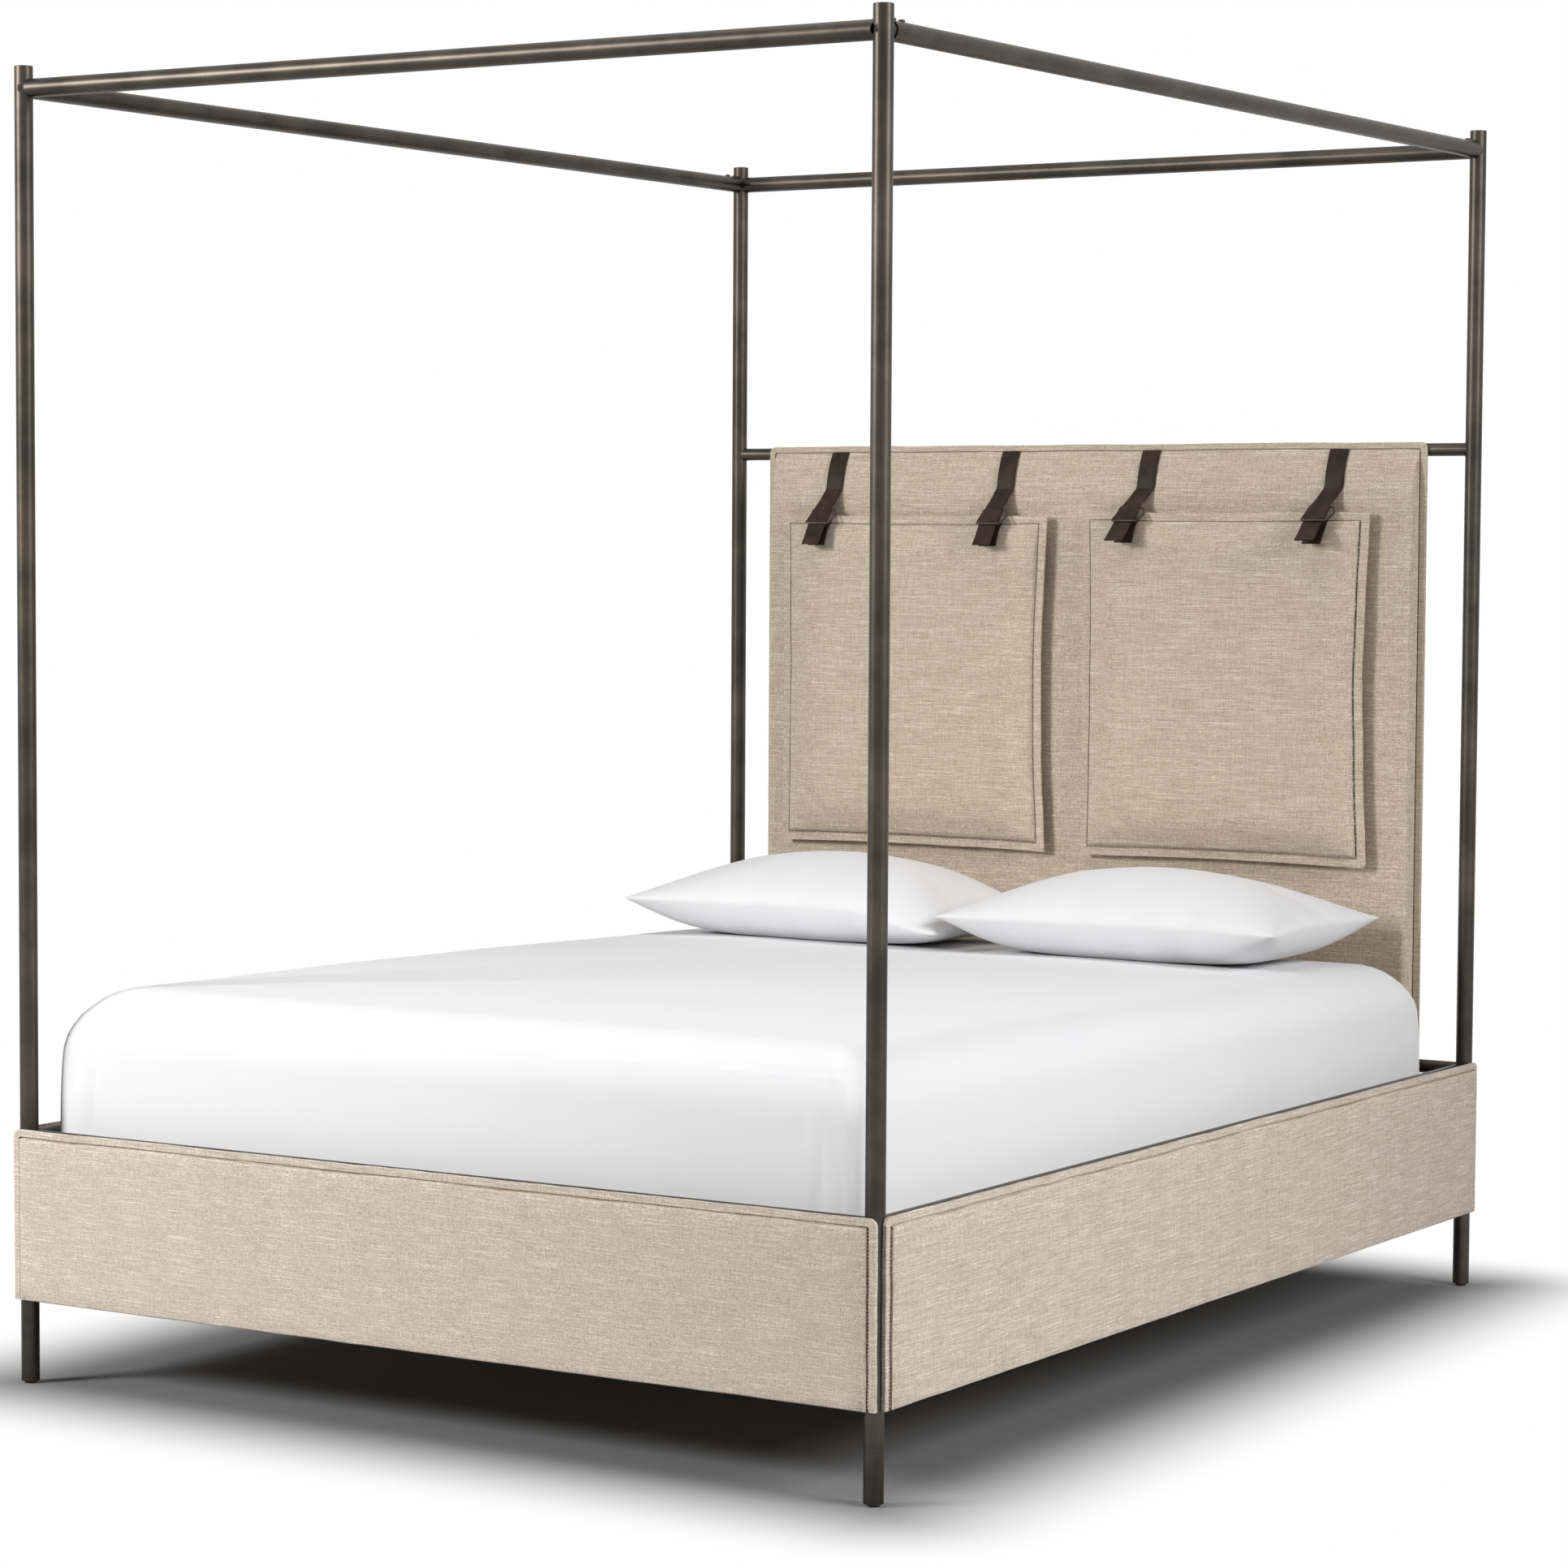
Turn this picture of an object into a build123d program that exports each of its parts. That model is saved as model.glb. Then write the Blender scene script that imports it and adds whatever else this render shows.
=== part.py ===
from build123d import *
import os

# Four poster canopy bed: tubular steel frame, upholstered panels, hung cushions, bedding.
# Millimetres. X runs across the bed, Y from foot to head, Z up. The floor is z = 0.
# Everything is drawn about the middle of the four posts; save() then moves it along Y so that
# the origin lies under the middle of the whole bed, foot panel included.

# ---------------------------------------------------------------- posts
bed_height = 2134.0
post_diameter = 30.0
tube_wall = 2.0
cap_thickness = 3.0
cap_edge_round = 1.2
glide_diameter = 19.5
glide_gap = 4.0
glide_stem_diameter = 8.0
glide_stem_length = 30.0
insert_length = 18.0
fit_clearance = 0.05
thread_clearance = 0.1

# ---------------------------------------------------------------- canopy
canopy_drop = 36.0
canopy_rail_diameter = 30.0
spigot_length = 60.0
spigot_wall = 2.5
spigot_seam = 1.2
screw_head_diameter = 10.5
screw_head_height = 3.2
screw_shank_diameter = 6.0
screw_length = 8.0
screw_head_round = 1.9
screw_first_offset = 10.0
screw_pitch = 25.0

# ---------------------------------------------------------------- lower frame
crossbar_diameter = 24.0
crossbar_below_seam = 3.0
lower_rail_diameter = 25.0
lower_rail_z = 404.5
ledge_drop = 50.0
ledge_width = 30.0
ledge_thickness = 3.0
ledge_end_gap = 40.0
slat_count = 12
slat_width = 70.0
slat_thickness = 18.0
slat_end_gap = 5.0
slat_edge_chamfer = 2.0
slat_field_inset = 36.0
centre_rail_width = 40.0
centre_rail_height = 30.0
centre_leg_diameter = 25.0
centre_leg_spacing = 900.0
leg_plate_size = 60.0
leg_plate_thickness = 3.0
hanger_width = 60.0
hanger_thickness = 4.0

# ---------------------------------------------------------------- upholstered panels
panel_rise = 14.5
panel_height = 280.0
panel_back = 15.4
panel_board_back = 16.4
panel_board_front = 24.4
panel_front = 27.4
foot_panel_overhang = 14.5
side_panel_foot_overhang = 6.0
side_panel_head_overhang = 11.0
flange_width = 13.0
flange_thickness = 5.0
flange_back = 17.0
flange_corner_round = 12.0
panel_side_fabric = 2.0
panel_edge_round = 1.4
panel_screw_cover = 1.0
tab_width = 40.0
tab_rise = 5.5
tab_length = 210.0
tab_screw_insets = (25.0, 140.0)
tab_inset = 213.5

# ---------------------------------------------------------------- headboard
headboard_side_gap = 84.5
headboard_top_z = 1567.0
headboard_below_rail = 4.5
headboard_seam_drop = 12.0
headboard_flange_back = 12.7
headboard_flange_thickness = 4.3
headboard_board_back = 14.6
headboard_board_thickness = 12.0
headboard_board_drop = 25.0
headboard_back_fabric = 1.0
headboard_fabric = 2.0
headboard_end_fabric = 1.5
shoulder_drops = [(0.0, 17.0), (14.0, 25.0), (27.0, 31.0), (50.0, 38.5), (76.0, 43.5), (105.0, 46.0)]
headboard_face = 46.0
sleeve_gap = 0.3
sleeve_fabric = 2.0
sleeve_end_inset = 16.5
bracket_width = 40.0
bracket_inset = 314.5
crossbar_bracket_length = 57.0
rail_bracket_length = 45.5
bracket_screw_inset = 12.0
bracket_screw_cover = 1.0
bracket_slot_margin = 2.0

# ---------------------------------------------------------------- hung cushions and straps
cushion_plane = 65.0
cushion_thickness = 46.0
cushion_back = 46.5
cushion_flange_width = 13.0
cushion_flange_thickness = 4.0
cushion_edge_chamfer = 14.0
cushion_corner_round = 8.0
cushion_width = 600.0
cushion_side_inset = (64.5, 88.5)
cushion_height = (656.0, 665.0)
cushion_drop = (124.0, 116.0)
strap_inset = ((97.0, 114.0), (106.0, 100.0))
strap_shift = ((-8.0, -8.0), (-18.0, -15.0))
strap_slack = ((0.0, 0.0), (3.0, 1.0))
strap_width = 38.0
strap_thickness = 2.4
strap_lift = 0.9
patch_top_drop = 1.0
patch_stitch_drop = 14.0
patch_bottom_drop = 27.0
patch_joint_gap = 0.6
strap_bend_drop = 50.0
crease_drop = 76.0
keeper_top = ((8.0, 79.0), (8.0, 75.0))
keeper_bottom = ((-18.0, 99.0), (-18.0, 102.0))
tail_end = (((-60.0, 124.0), (-60.0, 126.0)), ((-55.0, 139.0), (-55.0, 138.0)))
keeper_wall = 2.2
keeper_clearance = 0.2
keeper_end_inset = 0.5
keeper_bore_overrun = 1.0
ring_wire = 3.6
ring_gap = 0.4
ring_corner = 5.0
ring_past_keeper = (3.0, 2.4)
ring_half_widths = (24.0, 28.5, 26.0)
ring_shift = 2.0
ring_elbow = (-3.0, 5.5)
tab_leather_top = (-19.0, 88.0)
tab_leather_bend = (-28.0, 95.3)
tab_leather_end = (((-62.0, 103.0), (-62.0, 103.0)), ((-62.0, 103.0), (-62.0, 111.0)))

# ---------------------------------------------------------------- bedding
mattress_length = 2032.0
mattress_width = 1524.0
mattress_side_gaps = (27.0, 47.0)
mattress_foot_gap = 37.5
mattress_head_gap = 87.5
mattress_height_foot = 286.7
mattress_height_head = 236.7
mattress_edge_round = 45.0
mattress_side_round = 35.0
rest_gap = 0.3
pillow_length = 684.0
pillow_depth = 460.0
pillow_corner_round = 73.0
pillow_levels = [(0.0, 97.0), (27.0, 41.0), (77.0, 0.0), (134.0, 60.0), (168.0, 138.0)]
pillow_head_gap = 118.5
pillow_side_insets = (80.0, 74.0)

# ---------------------------------------------------------------- derived
post_x = (mattress_width + sum(mattress_side_gaps)) / 2
post_y = (mattress_length + mattress_foot_gap + mattress_head_gap) / 2
post_radius = post_diameter / 2
post_bore = post_radius - tube_wall
canopy_radius = canopy_rail_diameter / 2
rail_radius = lower_rail_diameter / 2
rail_bottom_z = lower_rail_z - rail_radius
screw_radius = screw_shank_diameter / 2
screw_hole_radius = screw_radius + thread_clearance
crossbar_radius = crossbar_diameter / 2
canopy_rail_z = bed_height - canopy_drop
headboard_seam_z = headboard_top_z - headboard_seam_drop
crossbar_z = headboard_seam_z - crossbar_below_seam
panel_top_z = lower_rail_z + panel_rise
panel_bottom_z = panel_top_z - panel_height
tab_top_z = lower_rail_z + tab_rise
tab_bottom_z = tab_top_z - tab_length
tab_screw_z = [tab_bottom_z + inset for inset in tab_screw_insets]
ledge_z = rail_bottom_z - ledge_drop + ledge_thickness
slat_top_z = ledge_z + slat_thickness
centre_rail_top_z = ledge_z
origin_shift_y = (panel_front - post_radius) / 2

corners = [("foot_left", -1, -1), ("foot_right", 1, -1), ("head_left", -1, 1), ("head_right", 1, 1)]

os.makedirs("parts", exist_ok=True)


def save(name, shape):
    export_step(Pos(0, origin_shift_y, 0) * shape, "parts/" + name + ".step")


def group(shapes):
    return Compound(list(shapes))


def rod_z(radius, low, high, x=0.0, y=0.0):
    return Pos(x, y, (low + high) / 2) * Cylinder(radius, high - low)


def rod_x(radius, low, high, y, z):
    return Pos((low + high) / 2, y, z) * Rot(0, 90, 0) * Cylinder(radius, high - low)


def rod_y(radius, low, high, x, z):
    return Pos(x, (low + high) / 2, z) * Rot(90, 0, 0) * Cylinder(radius, high - low)


def block(x, y, z):
    """A box from three (low, high) pairs."""
    size = [side[1] - side[0] for side in (x, y, z)]
    middle = [(side[0] + side[1]) / 2 for side in (x, y, z)]
    return Pos(*middle) * Box(*size)


def ordered(a, b):
    return (min(a, b), max(a, b))


def post_cut(x, y, gap):
    return rod_z(post_radius + gap, 0, bed_height, x, y)


# ================================================================ posts, caps, inserts, glides
def make_post(x, y):
    tube = rod_z(post_radius, glide_gap, bed_height - cap_thickness, x, y)
    return tube - rod_z(post_bore, glide_gap, bed_height - cap_thickness, x, y)


def make_cap(x, y):
    cap = rod_z(post_radius, bed_height - cap_thickness, bed_height, x, y)
    top_edge = cap.edges().sort_by(Axis.Z)[-1]
    return fillet(top_edge, cap_edge_round)


def make_insert(x, y, bore):
    plug = rod_z(bore - fit_clearance, glide_gap, glide_gap + insert_length, x, y)
    hole = rod_z(glide_stem_diameter / 2 + thread_clearance, 0, glide_gap + insert_length, x, y)
    return plug - hole


def make_glide(x, y):
    foot = rod_z(glide_diameter / 2, 0, glide_gap - fit_clearance, x, y)
    return foot + rod_z(glide_stem_diameter / 2, 0, glide_stem_length, x, y)


for corner_name, side_x, side_y in corners:
    save("post_" + corner_name, make_post(side_x * post_x, side_y * post_y))

save("post_caps", group(make_cap(sx * post_x, sy * post_y) for _, sx, sy in corners))


# ================================================================ rails between posts
def cross_rail(radius, y, z, beside_spigots):
    """A tube across the bed, coped and welded to the posts at both ends."""
    tube = rod_x(radius, -post_x, post_x, y, z) - rod_x(radius - tube_wall, -post_x, post_x, y, z)
    for x in (-post_x, post_x):
        tube -= post_cut(x, y, fit_clearance)
        if beside_spigots:
            tube -= rod_y(radius - tube_wall, y - radius, y + radius, x, z)
    return tube


def side_rail(radius, x, z, screw_direction):
    """A tube along the bed that slips over a spigot on each post."""
    half = post_y - post_radius - spigot_seam
    tube = rod_y(radius, -half, half, x, z) - rod_y(radius - tube_wall, -half, half, x, z)
    for sy in (-1, 1):
        for hole in screw_shanks(radius, x, sy, z, screw_direction, thread_clearance):
            tube -= hole
    return tube


def spigot(radius, x, sy, z, screw_direction):
    """A short stub welded to a post, tapped for the two screws."""
    outer = radius - tube_wall - fit_clearance
    span = ordered(sy * post_y, sy * (post_y - post_radius - spigot_length))
    stub = rod_y(outer, span[0], span[1], x, z) - rod_y(outer - spigot_wall, span[0], span[1], x, z)
    stub -= post_cut(x, sy * post_y, fit_clearance)
    for hole in screw_shanks(radius, x, sy, z, screw_direction, thread_clearance):
        stub -= hole
    return stub


def screw_places(sy):
    return [sy * (post_y - post_radius - screw_first_offset - step * screw_pitch) for step in (0, 1)]


def screw_shanks(radius, x, sy, z, direction, gap):
    ends = ordered(z + direction * (radius - screw_length), z + direction * (radius + gap + fit_clearance))
    return [rod_z(screw_radius + gap, ends[0], ends[1], x, y) for y in screw_places(sy)]


def screws(radius, x, sy, z, direction):
    """Button head screws through the rail into its spigot."""
    result = []
    for shank, y in zip(screw_shanks(radius, x, sy, z, direction, 0.0), screw_places(sy)):
        base = z + direction * (radius + fit_clearance)
        ends = ordered(base, base + direction * screw_head_height)
        head = rod_z(screw_head_diameter / 2, ends[0], ends[1], x, y)
        rim = head.edges().filter_by(GeomType.CIRCLE).sort_by(Axis.Z)[-1 if direction > 0 else 0]
        result.append(fillet(rim, screw_head_round) + shank)
    return result


save("canopy_rail_foot", cross_rail(canopy_radius, -post_y, canopy_rail_z, True))
save("canopy_rail_head", cross_rail(canopy_radius, post_y, canopy_rail_z, True))
save("canopy_rail_left", side_rail(canopy_radius, -post_x, canopy_rail_z, 1))
save("canopy_rail_right", side_rail(canopy_radius, post_x, canopy_rail_z, 1))
save("canopy_spigots",
     group(spigot(canopy_radius, sx * post_x, sy, canopy_rail_z, 1) for _, sx, sy in corners))

canopy_screws = []
rail_screws = []
for _, sx, sy in corners:
    canopy_screws += screws(canopy_radius, sx * post_x, sy, canopy_rail_z, 1)
    rail_screws += screws(rail_radius, sx * post_x, sy, lower_rail_z, -1)
save("canopy_screws", group(canopy_screws))

save("headboard_crossbar", cross_rail(crossbar_radius, post_y, crossbar_z, False))
save("rail_foot", cross_rail(rail_radius, -post_y, lower_rail_z, True))
save("rail_head", cross_rail(rail_radius, post_y, lower_rail_z, True))
save("rail_left", side_rail(rail_radius, -post_x, lower_rail_z, -1))
save("rail_right", side_rail(rail_radius, post_x, lower_rail_z, -1))
save("rail_spigots", group(spigot(rail_radius, sx * post_x, sy, lower_rail_z, -1) for _, sx, sy in corners))
save("rail_screws", group(rail_screws))


# ================================================================ slat deck
def ledge(sx):
    """An angle under the side rail that carries the slat ends."""
    half = post_y - post_radius - spigot_length - ledge_end_gap
    leg_x = ordered(sx * (post_x - ledge_thickness / 2), sx * (post_x + ledge_thickness / 2))
    shelf_x = ordered(sx * (post_x - ledge_width), sx * (post_x + ledge_thickness / 2))
    leg = block(leg_x, (-half, half), (ledge_z - ledge_thickness, rail_bottom_z))
    return leg + block(shelf_x, (-half, half), (ledge_z - ledge_thickness, ledge_z))


def slat(y):
    half = post_x - ledge_thickness / 2 - slat_end_gap
    plank = block((-half, half), (y - slat_width / 2, y + slat_width / 2), (ledge_z, slat_top_z))
    return chamfer(plank.edges().filter_by(Axis.X), slat_edge_chamfer)


def centre_rail():
    half = post_y - hanger_thickness
    low = centre_rail_top_z - centre_rail_height
    side = centre_rail_width / 2
    tube = block((-side, side), (-half, half), (low, centre_rail_top_z))
    inside = side - tube_wall
    return tube - block((-inside, inside), (-half, half), (low + tube_wall, centre_rail_top_z - tube_wall))


def centre_hanger(sy):
    """A bent plate under an end rail that holds the centre rail's end."""
    face = ordered(sy * (post_y - hanger_thickness / 2), sy * (post_y + hanger_thickness / 2))
    low = centre_rail_top_z - centre_rail_height - hanger_thickness
    shelf = ordered(sy * post_y, sy * (post_y - hanger_width))
    half = hanger_width / 2
    plate = block((-half, half), face, (low, rail_bottom_z))
    return plate + block((-half, half), shelf, (low, low + hanger_thickness))


def centre_leg(y):
    top = centre_rail_top_z - centre_rail_height
    half = leg_plate_size / 2
    radius = centre_leg_diameter / 2
    tube = rod_z(radius, glide_gap, top - leg_plate_thickness, 0, y)
    tube -= rod_z(radius - tube_wall, glide_gap, top - leg_plate_thickness, 0, y)
    return tube + block((-half, half), (y - half, y + half), (top - leg_plate_thickness, top))


leg_places = (-centre_leg_spacing / 2, centre_leg_spacing / 2)
leg_bore = centre_leg_diameter / 2 - tube_wall
slat_field_length = mattress_length - 2 * slat_field_inset
slat_step = (slat_field_length - slat_width) / (slat_count - 1)
slat_start = -(slat_field_length - slat_width) / 2

save("slat_ledge_left", ledge(-1))
save("slat_ledge_right", ledge(1))
save("slats", group(slat(slat_start + index * slat_step) for index in range(slat_count)))
save("centre_rail", centre_rail())
save("centre_rail_hangers", group(centre_hanger(sy) for sy in (-1, 1)))
save("centre_legs", group(centre_leg(y) for y in leg_places))

glide_inserts = [make_insert(sx * post_x, sy * post_y, post_bore) for _, sx, sy in corners]
glide_inserts += [make_insert(0, y, leg_bore) for y in leg_places]
glides = [make_glide(sx * post_x, sy * post_y) for _, sx, sy in corners]
glides += [make_glide(0, y) for y in leg_places]
save("glide_inserts", group(glide_inserts))
save("levelling_glides", group(glides))


# ================================================================ upholstered panels
def flange_sheet(half_length, shift, top, bottom, back, thickness, corner):
    """Flat welt along the top and both ends, drawn for a panel that faces -Y."""
    sheet = block((shift - half_length, shift + half_length), (-back - thickness, -back), (bottom, top))
    upper = sheet.edges().filter_by(Axis.Y).sort_by(Axis.Z)[-2:]
    return fillet(upper, corner)


def tab_offsets(half_length):
    return (tab_inset - half_length, 0.0, half_length - tab_inset)


def panel_board(half_length, shift):
    half = half_length - flange_width - panel_side_fabric
    top = panel_top_z - flange_width - panel_side_fabric
    depth = (-panel_board_front, -panel_board_back)
    board = block((shift - half, shift + half), depth, (panel_bottom_z + panel_side_fabric, top))
    for offset in tab_offsets(half_length):
        for z in tab_screw_z:
            board -= rod_y(screw_hole_radius, -panel_board_front, -panel_back, offset, z)
    return board


def panel_cover(half_length, shift):
    """Padded slipcover, open underneath, with the board inside it."""
    half = half_length - flange_width
    top = panel_top_z - flange_width
    body = block((shift - half, shift + half), (-panel_front, -panel_back), (panel_bottom_z, top))
    body = fillet(body.edges().filter_by(Axis.X).group_by(Axis.Y)[0], panel_edge_round)
    body += flange_sheet(half_length, shift, panel_top_z, panel_bottom_z, flange_back, flange_thickness,
                         flange_corner_round)
    inner = half - panel_side_fabric
    pocket = block((shift - inner, shift + inner), (-panel_board_front, -panel_board_back),
                   (panel_bottom_z, top - panel_side_fabric))
    body -= pocket
    for offset in tab_offsets(half_length):
        for z in tab_screw_z:
            body -= rod_y(screw_hole_radius, -panel_board_back, -panel_back, offset, z)
    return body


def panel_tab(offset):
    """Flat bar welded to the rail's outer side; the panel is screwed to it."""
    half = tab_width / 2
    bar = block((offset - half, offset + half), (-panel_back, -rail_radius), (tab_bottom_z, tab_top_z))
    for z in tab_screw_z:
        bar -= rod_y(screw_hole_radius, -panel_back, -rail_radius, offset, z)
    return bar


def panel_screws(offset):
    result = []
    for z in tab_screw_z:
        head = rod_y(screw_head_diameter / 2, -rail_radius, -rail_radius + screw_head_height, offset, z)
        tip = panel_screw_cover - panel_board_front
        result.append(head + rod_y(screw_radius, tip, -rail_radius, offset, z))
    return result


side_half_length = post_y + (side_panel_foot_overhang + side_panel_head_overhang) / 2
side_shift = (side_panel_head_overhang - side_panel_foot_overhang) / 2
panel_places = [
    ("foot", Pos(0, -post_y, 0), post_x + foot_panel_overhang, 0.0),
    ("right", Pos(post_x, 0, 0) * Rot(0, 0, 90), side_half_length, side_shift),
    ("left", Pos(-post_x, 0, 0) * Rot(0, 0, -90), side_half_length, -side_shift),
]
all_tabs = []
all_panel_screws = []
for panel_name, place, half_length, shift in panel_places:
    save("panel_board_" + panel_name, place * panel_board(half_length, shift))
    save("panel_cover_" + panel_name, place * panel_cover(half_length, shift))
    for offset in tab_offsets(half_length):
        all_tabs.append(place * panel_tab(offset))
        all_panel_screws += [place * screw for screw in panel_screws(offset)]
save("panel_tabs", group(all_tabs))
save("panel_screws", group(all_panel_screws))


# ================================================================ headboard
def side_view(points, low, high):
    """Extrude a closed outline, given as (z, distance in front of the head posts' centre line), along X."""
    line = Polyline(*[(low, post_y - depth, z) for z, depth in points], close=True)
    return extrude(make_face(line), amount=high - low, dir=(1, 0, 0))


headboard_half_width = post_x - headboard_side_gap
headboard_bottom_z = lower_rail_z - headboard_below_rail
headboard_board_top_z = headboard_seam_z - headboard_board_drop
headboard_shoulder = [(headboard_seam_z - drop, depth) for drop, depth in shoulder_drops]
sleeve_half_width = headboard_half_width - sleeve_end_inset
bracket_offsets = (bracket_inset - headboard_half_width, headboard_half_width - bracket_inset)
crossbar_bracket_bottom_z = crossbar_z - crossbar_bracket_length
rail_bracket_top_z = lower_rail_z + rail_bracket_length
board_front = headboard_board_back + headboard_board_thickness
body_half = headboard_half_width - flange_width
inner_half = body_half - headboard_end_fabric


def headboard_board():
    board = block((-inner_half, inner_half), (post_y - board_front, post_y - headboard_board_back),
                  (headboard_bottom_z + headboard_fabric, headboard_board_top_z))
    for offset in bracket_offsets:
        for z in bracket_screw_heights:
            board -= bracket_hole(offset, z)
    return board


def padding_outline(bottom):
    """Crowned filling over the board's front and top, under the fabric."""
    shoulder = [(z, depth - headboard_fabric) for z, depth in headboard_shoulder[1:]]
    top = headboard_seam_z - headboard_fabric
    points = [(top, headboard_board_back), (top, headboard_shoulder[0][1])] + shoulder
    points += [(bottom, headboard_face - headboard_fabric), (bottom, board_front)]
    return points + [(headboard_board_top_z, board_front), (headboard_board_top_z, headboard_board_back)]


def headboard_padding():
    return side_view(padding_outline(headboard_bottom_z + headboard_fabric), -inner_half, inner_half)


def headboard_cover():
    back = headboard_board_back - headboard_back_fabric
    outline = [(headboard_seam_z, back)] + headboard_shoulder
    outline += [(headboard_bottom_z, headboard_face), (headboard_bottom_z, back)]
    body = side_view(outline, -body_half, body_half)
    body += Pos(0, post_y, 0) * flange_sheet(headboard_half_width, 0.0, headboard_top_z, headboard_bottom_z,
                                             headboard_flange_back, headboard_flange_thickness,
                                             flange_corner_round)
    body += sleeve()
    body -= rod_x(crossbar_radius + sleeve_gap, -post_x, post_x, post_y, crossbar_z)
    body -= block((-inner_half, inner_half), (post_y - board_front, post_y - headboard_board_back),
                  (headboard_bottom_z, headboard_board_top_z))
    body -= side_view(padding_outline(headboard_bottom_z), -inner_half, inner_half)
    for offset in bracket_offsets:
        half = bracket_width / 2 + sleeve_gap
        slot_x = (offset - half, offset + half)
        slot_y = (post_y - headboard_board_back, post_y - rail_radius + bracket_slot_margin)
        body -= block(slot_x, slot_y, (crossbar_bracket_bottom_z - sleeve_gap, crossbar_z))
        body -= block(slot_x, slot_y, (headboard_bottom_z, rail_bracket_top_z + sleeve_gap))
    return body


def sleeve():
    """Fabric tunnel that hangs the cover on the crossbar."""
    radius = crossbar_radius + sleeve_gap + sleeve_fabric
    tunnel = rod_x(radius, -sleeve_half_width, sleeve_half_width, post_y, crossbar_z)
    hollow = rod_x(crossbar_radius + sleeve_gap, -sleeve_half_width, sleeve_half_width, post_y, crossbar_z)
    in_front = block((-sleeve_half_width, sleeve_half_width),
                     (post_y - 2 * radius, post_y - headboard_flange_back),
                     (crossbar_z - 2 * radius, crossbar_z + 2 * radius))
    return tunnel - hollow - in_front


bracket_screw_heights = (crossbar_bracket_bottom_z + bracket_screw_inset,
                         rail_bracket_top_z - bracket_screw_inset)
bracket_screw_tip = post_y - board_front + bracket_screw_cover


def bracket_hole(offset, z):
    return rod_y(screw_hole_radius, bracket_screw_tip, post_y - crossbar_radius, offset, z)


def headboard_bracket(offset, radius, low, high, screw_z):
    half = bracket_width / 2
    depth = (post_y - headboard_board_back, post_y - radius)
    return block((offset - half, offset + half), depth, (low, high)) - bracket_hole(offset, screw_z)


def headboard_screw(offset, radius, z):
    head = rod_y(screw_head_diameter / 2, post_y - radius, post_y - radius + screw_head_height, offset, z)
    return head + rod_y(screw_radius, bracket_screw_tip, post_y - radius, offset, z)


brackets = []
bracket_screws = []
for offset in bracket_offsets:
    upper_z, lower_z = bracket_screw_heights
    brackets.append(headboard_bracket(offset, crossbar_radius, crossbar_bracket_bottom_z, crossbar_z, upper_z))
    brackets.append(headboard_bracket(offset, rail_radius, rail_bottom_z, rail_bracket_top_z, lower_z))
    bracket_screws.append(headboard_screw(offset, crossbar_radius, upper_z))
    bracket_screws.append(headboard_screw(offset, rail_radius, lower_z))

save("headboard_board", headboard_board())
save("headboard_padding", headboard_padding())
save("headboard_cover", headboard_cover())
save("headboard_brackets", group(brackets))
save("headboard_screws", group(bracket_screws))


# ================================================================ straps, buckles, cushions
def face_depth(z):
    """Distance of the headboard's front face from the post line at height z."""
    if z <= headboard_shoulder[-1][0]:
        return headboard_face
    for upper, lower in zip(headboard_shoulder, headboard_shoulder[1:]):
        if lower[0] <= z <= upper[0]:
            share = (upper[0] - z) / (upper[0] - lower[0])
            return upper[1] + share * (lower[1] - upper[1])
    return headboard_shoulder[0][1]


def station(z, depth, x, width, thickness, tilt):
    """A cross-section of a strap: width along X, thickness across the strap's run."""
    plane = Plane(origin=(x, post_y - depth, z), x_dir=(1, 0, 0), z_dir=tilt)
    return plane * Rectangle(width, thickness)


def run_direction(a, b):
    """Unit direction in the YZ plane from one (z, depth) point to the next."""
    dy = a[1] - b[1]
    dz = b[0] - a[0]
    size = (dy * dy + dz * dz) ** 0.5
    return (0.0, dy / size, dz / size)


def bisector(first, second):
    total = [first[i] + second[i] for i in range(3)]
    size = sum(value * value for value in total) ** 0.5
    return tuple(value / size for value in total)


def strap_run(points, xs, width, thickness):
    """Flat leather swept through (z, depth) points with a mitred fold at each of them."""
    directions = [run_direction(a, b) for a, b in zip(points, points[1:])]
    normals = [directions[0]]
    normals += [bisector(a, b) for a, b in zip(directions, directions[1:])]
    normals.append(directions[-1])
    sections = [station(p[0], p[1], x, width, thickness, n) for p, x, n in zip(points, xs, normals)]
    return loft(sections, ruled=True)


cushion_top_z = [headboard_seam_z - drop for drop in cushion_drop]
cushion_left_edge = (cushion_side_inset[0] - headboard_half_width,
                     headboard_half_width - cushion_side_inset[1] - cushion_width)


def below_top(point, side, place):
    """Turn a height measured from a cushion's top edge into a height above the floor, less the strap's slack."""
    return (cushion_top_z[side] + point[0] - strap_slack[side][place], point[1])


def keeper_places(side):
    """Where the two keepers of a cushion stand across the bed."""
    left, right = strap_inset[side]
    return (cushion_left_edge[side] + left, cushion_left_edge[side] + cushion_width - right)


def seam_down(drop):
    return on_face(headboard_seam_z - drop)


def on_face(z):
    return (z, face_depth(z) + strap_lift + strap_thickness / 2)


def strap_anchor(x):
    """The stitched end of a strap, fixed to the headboard."""
    return strap_run([seam_down(patch_top_drop), seam_down(patch_stitch_drop), seam_down(patch_bottom_drop)],
                     [x, x, x], strap_width, strap_thickness)


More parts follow.
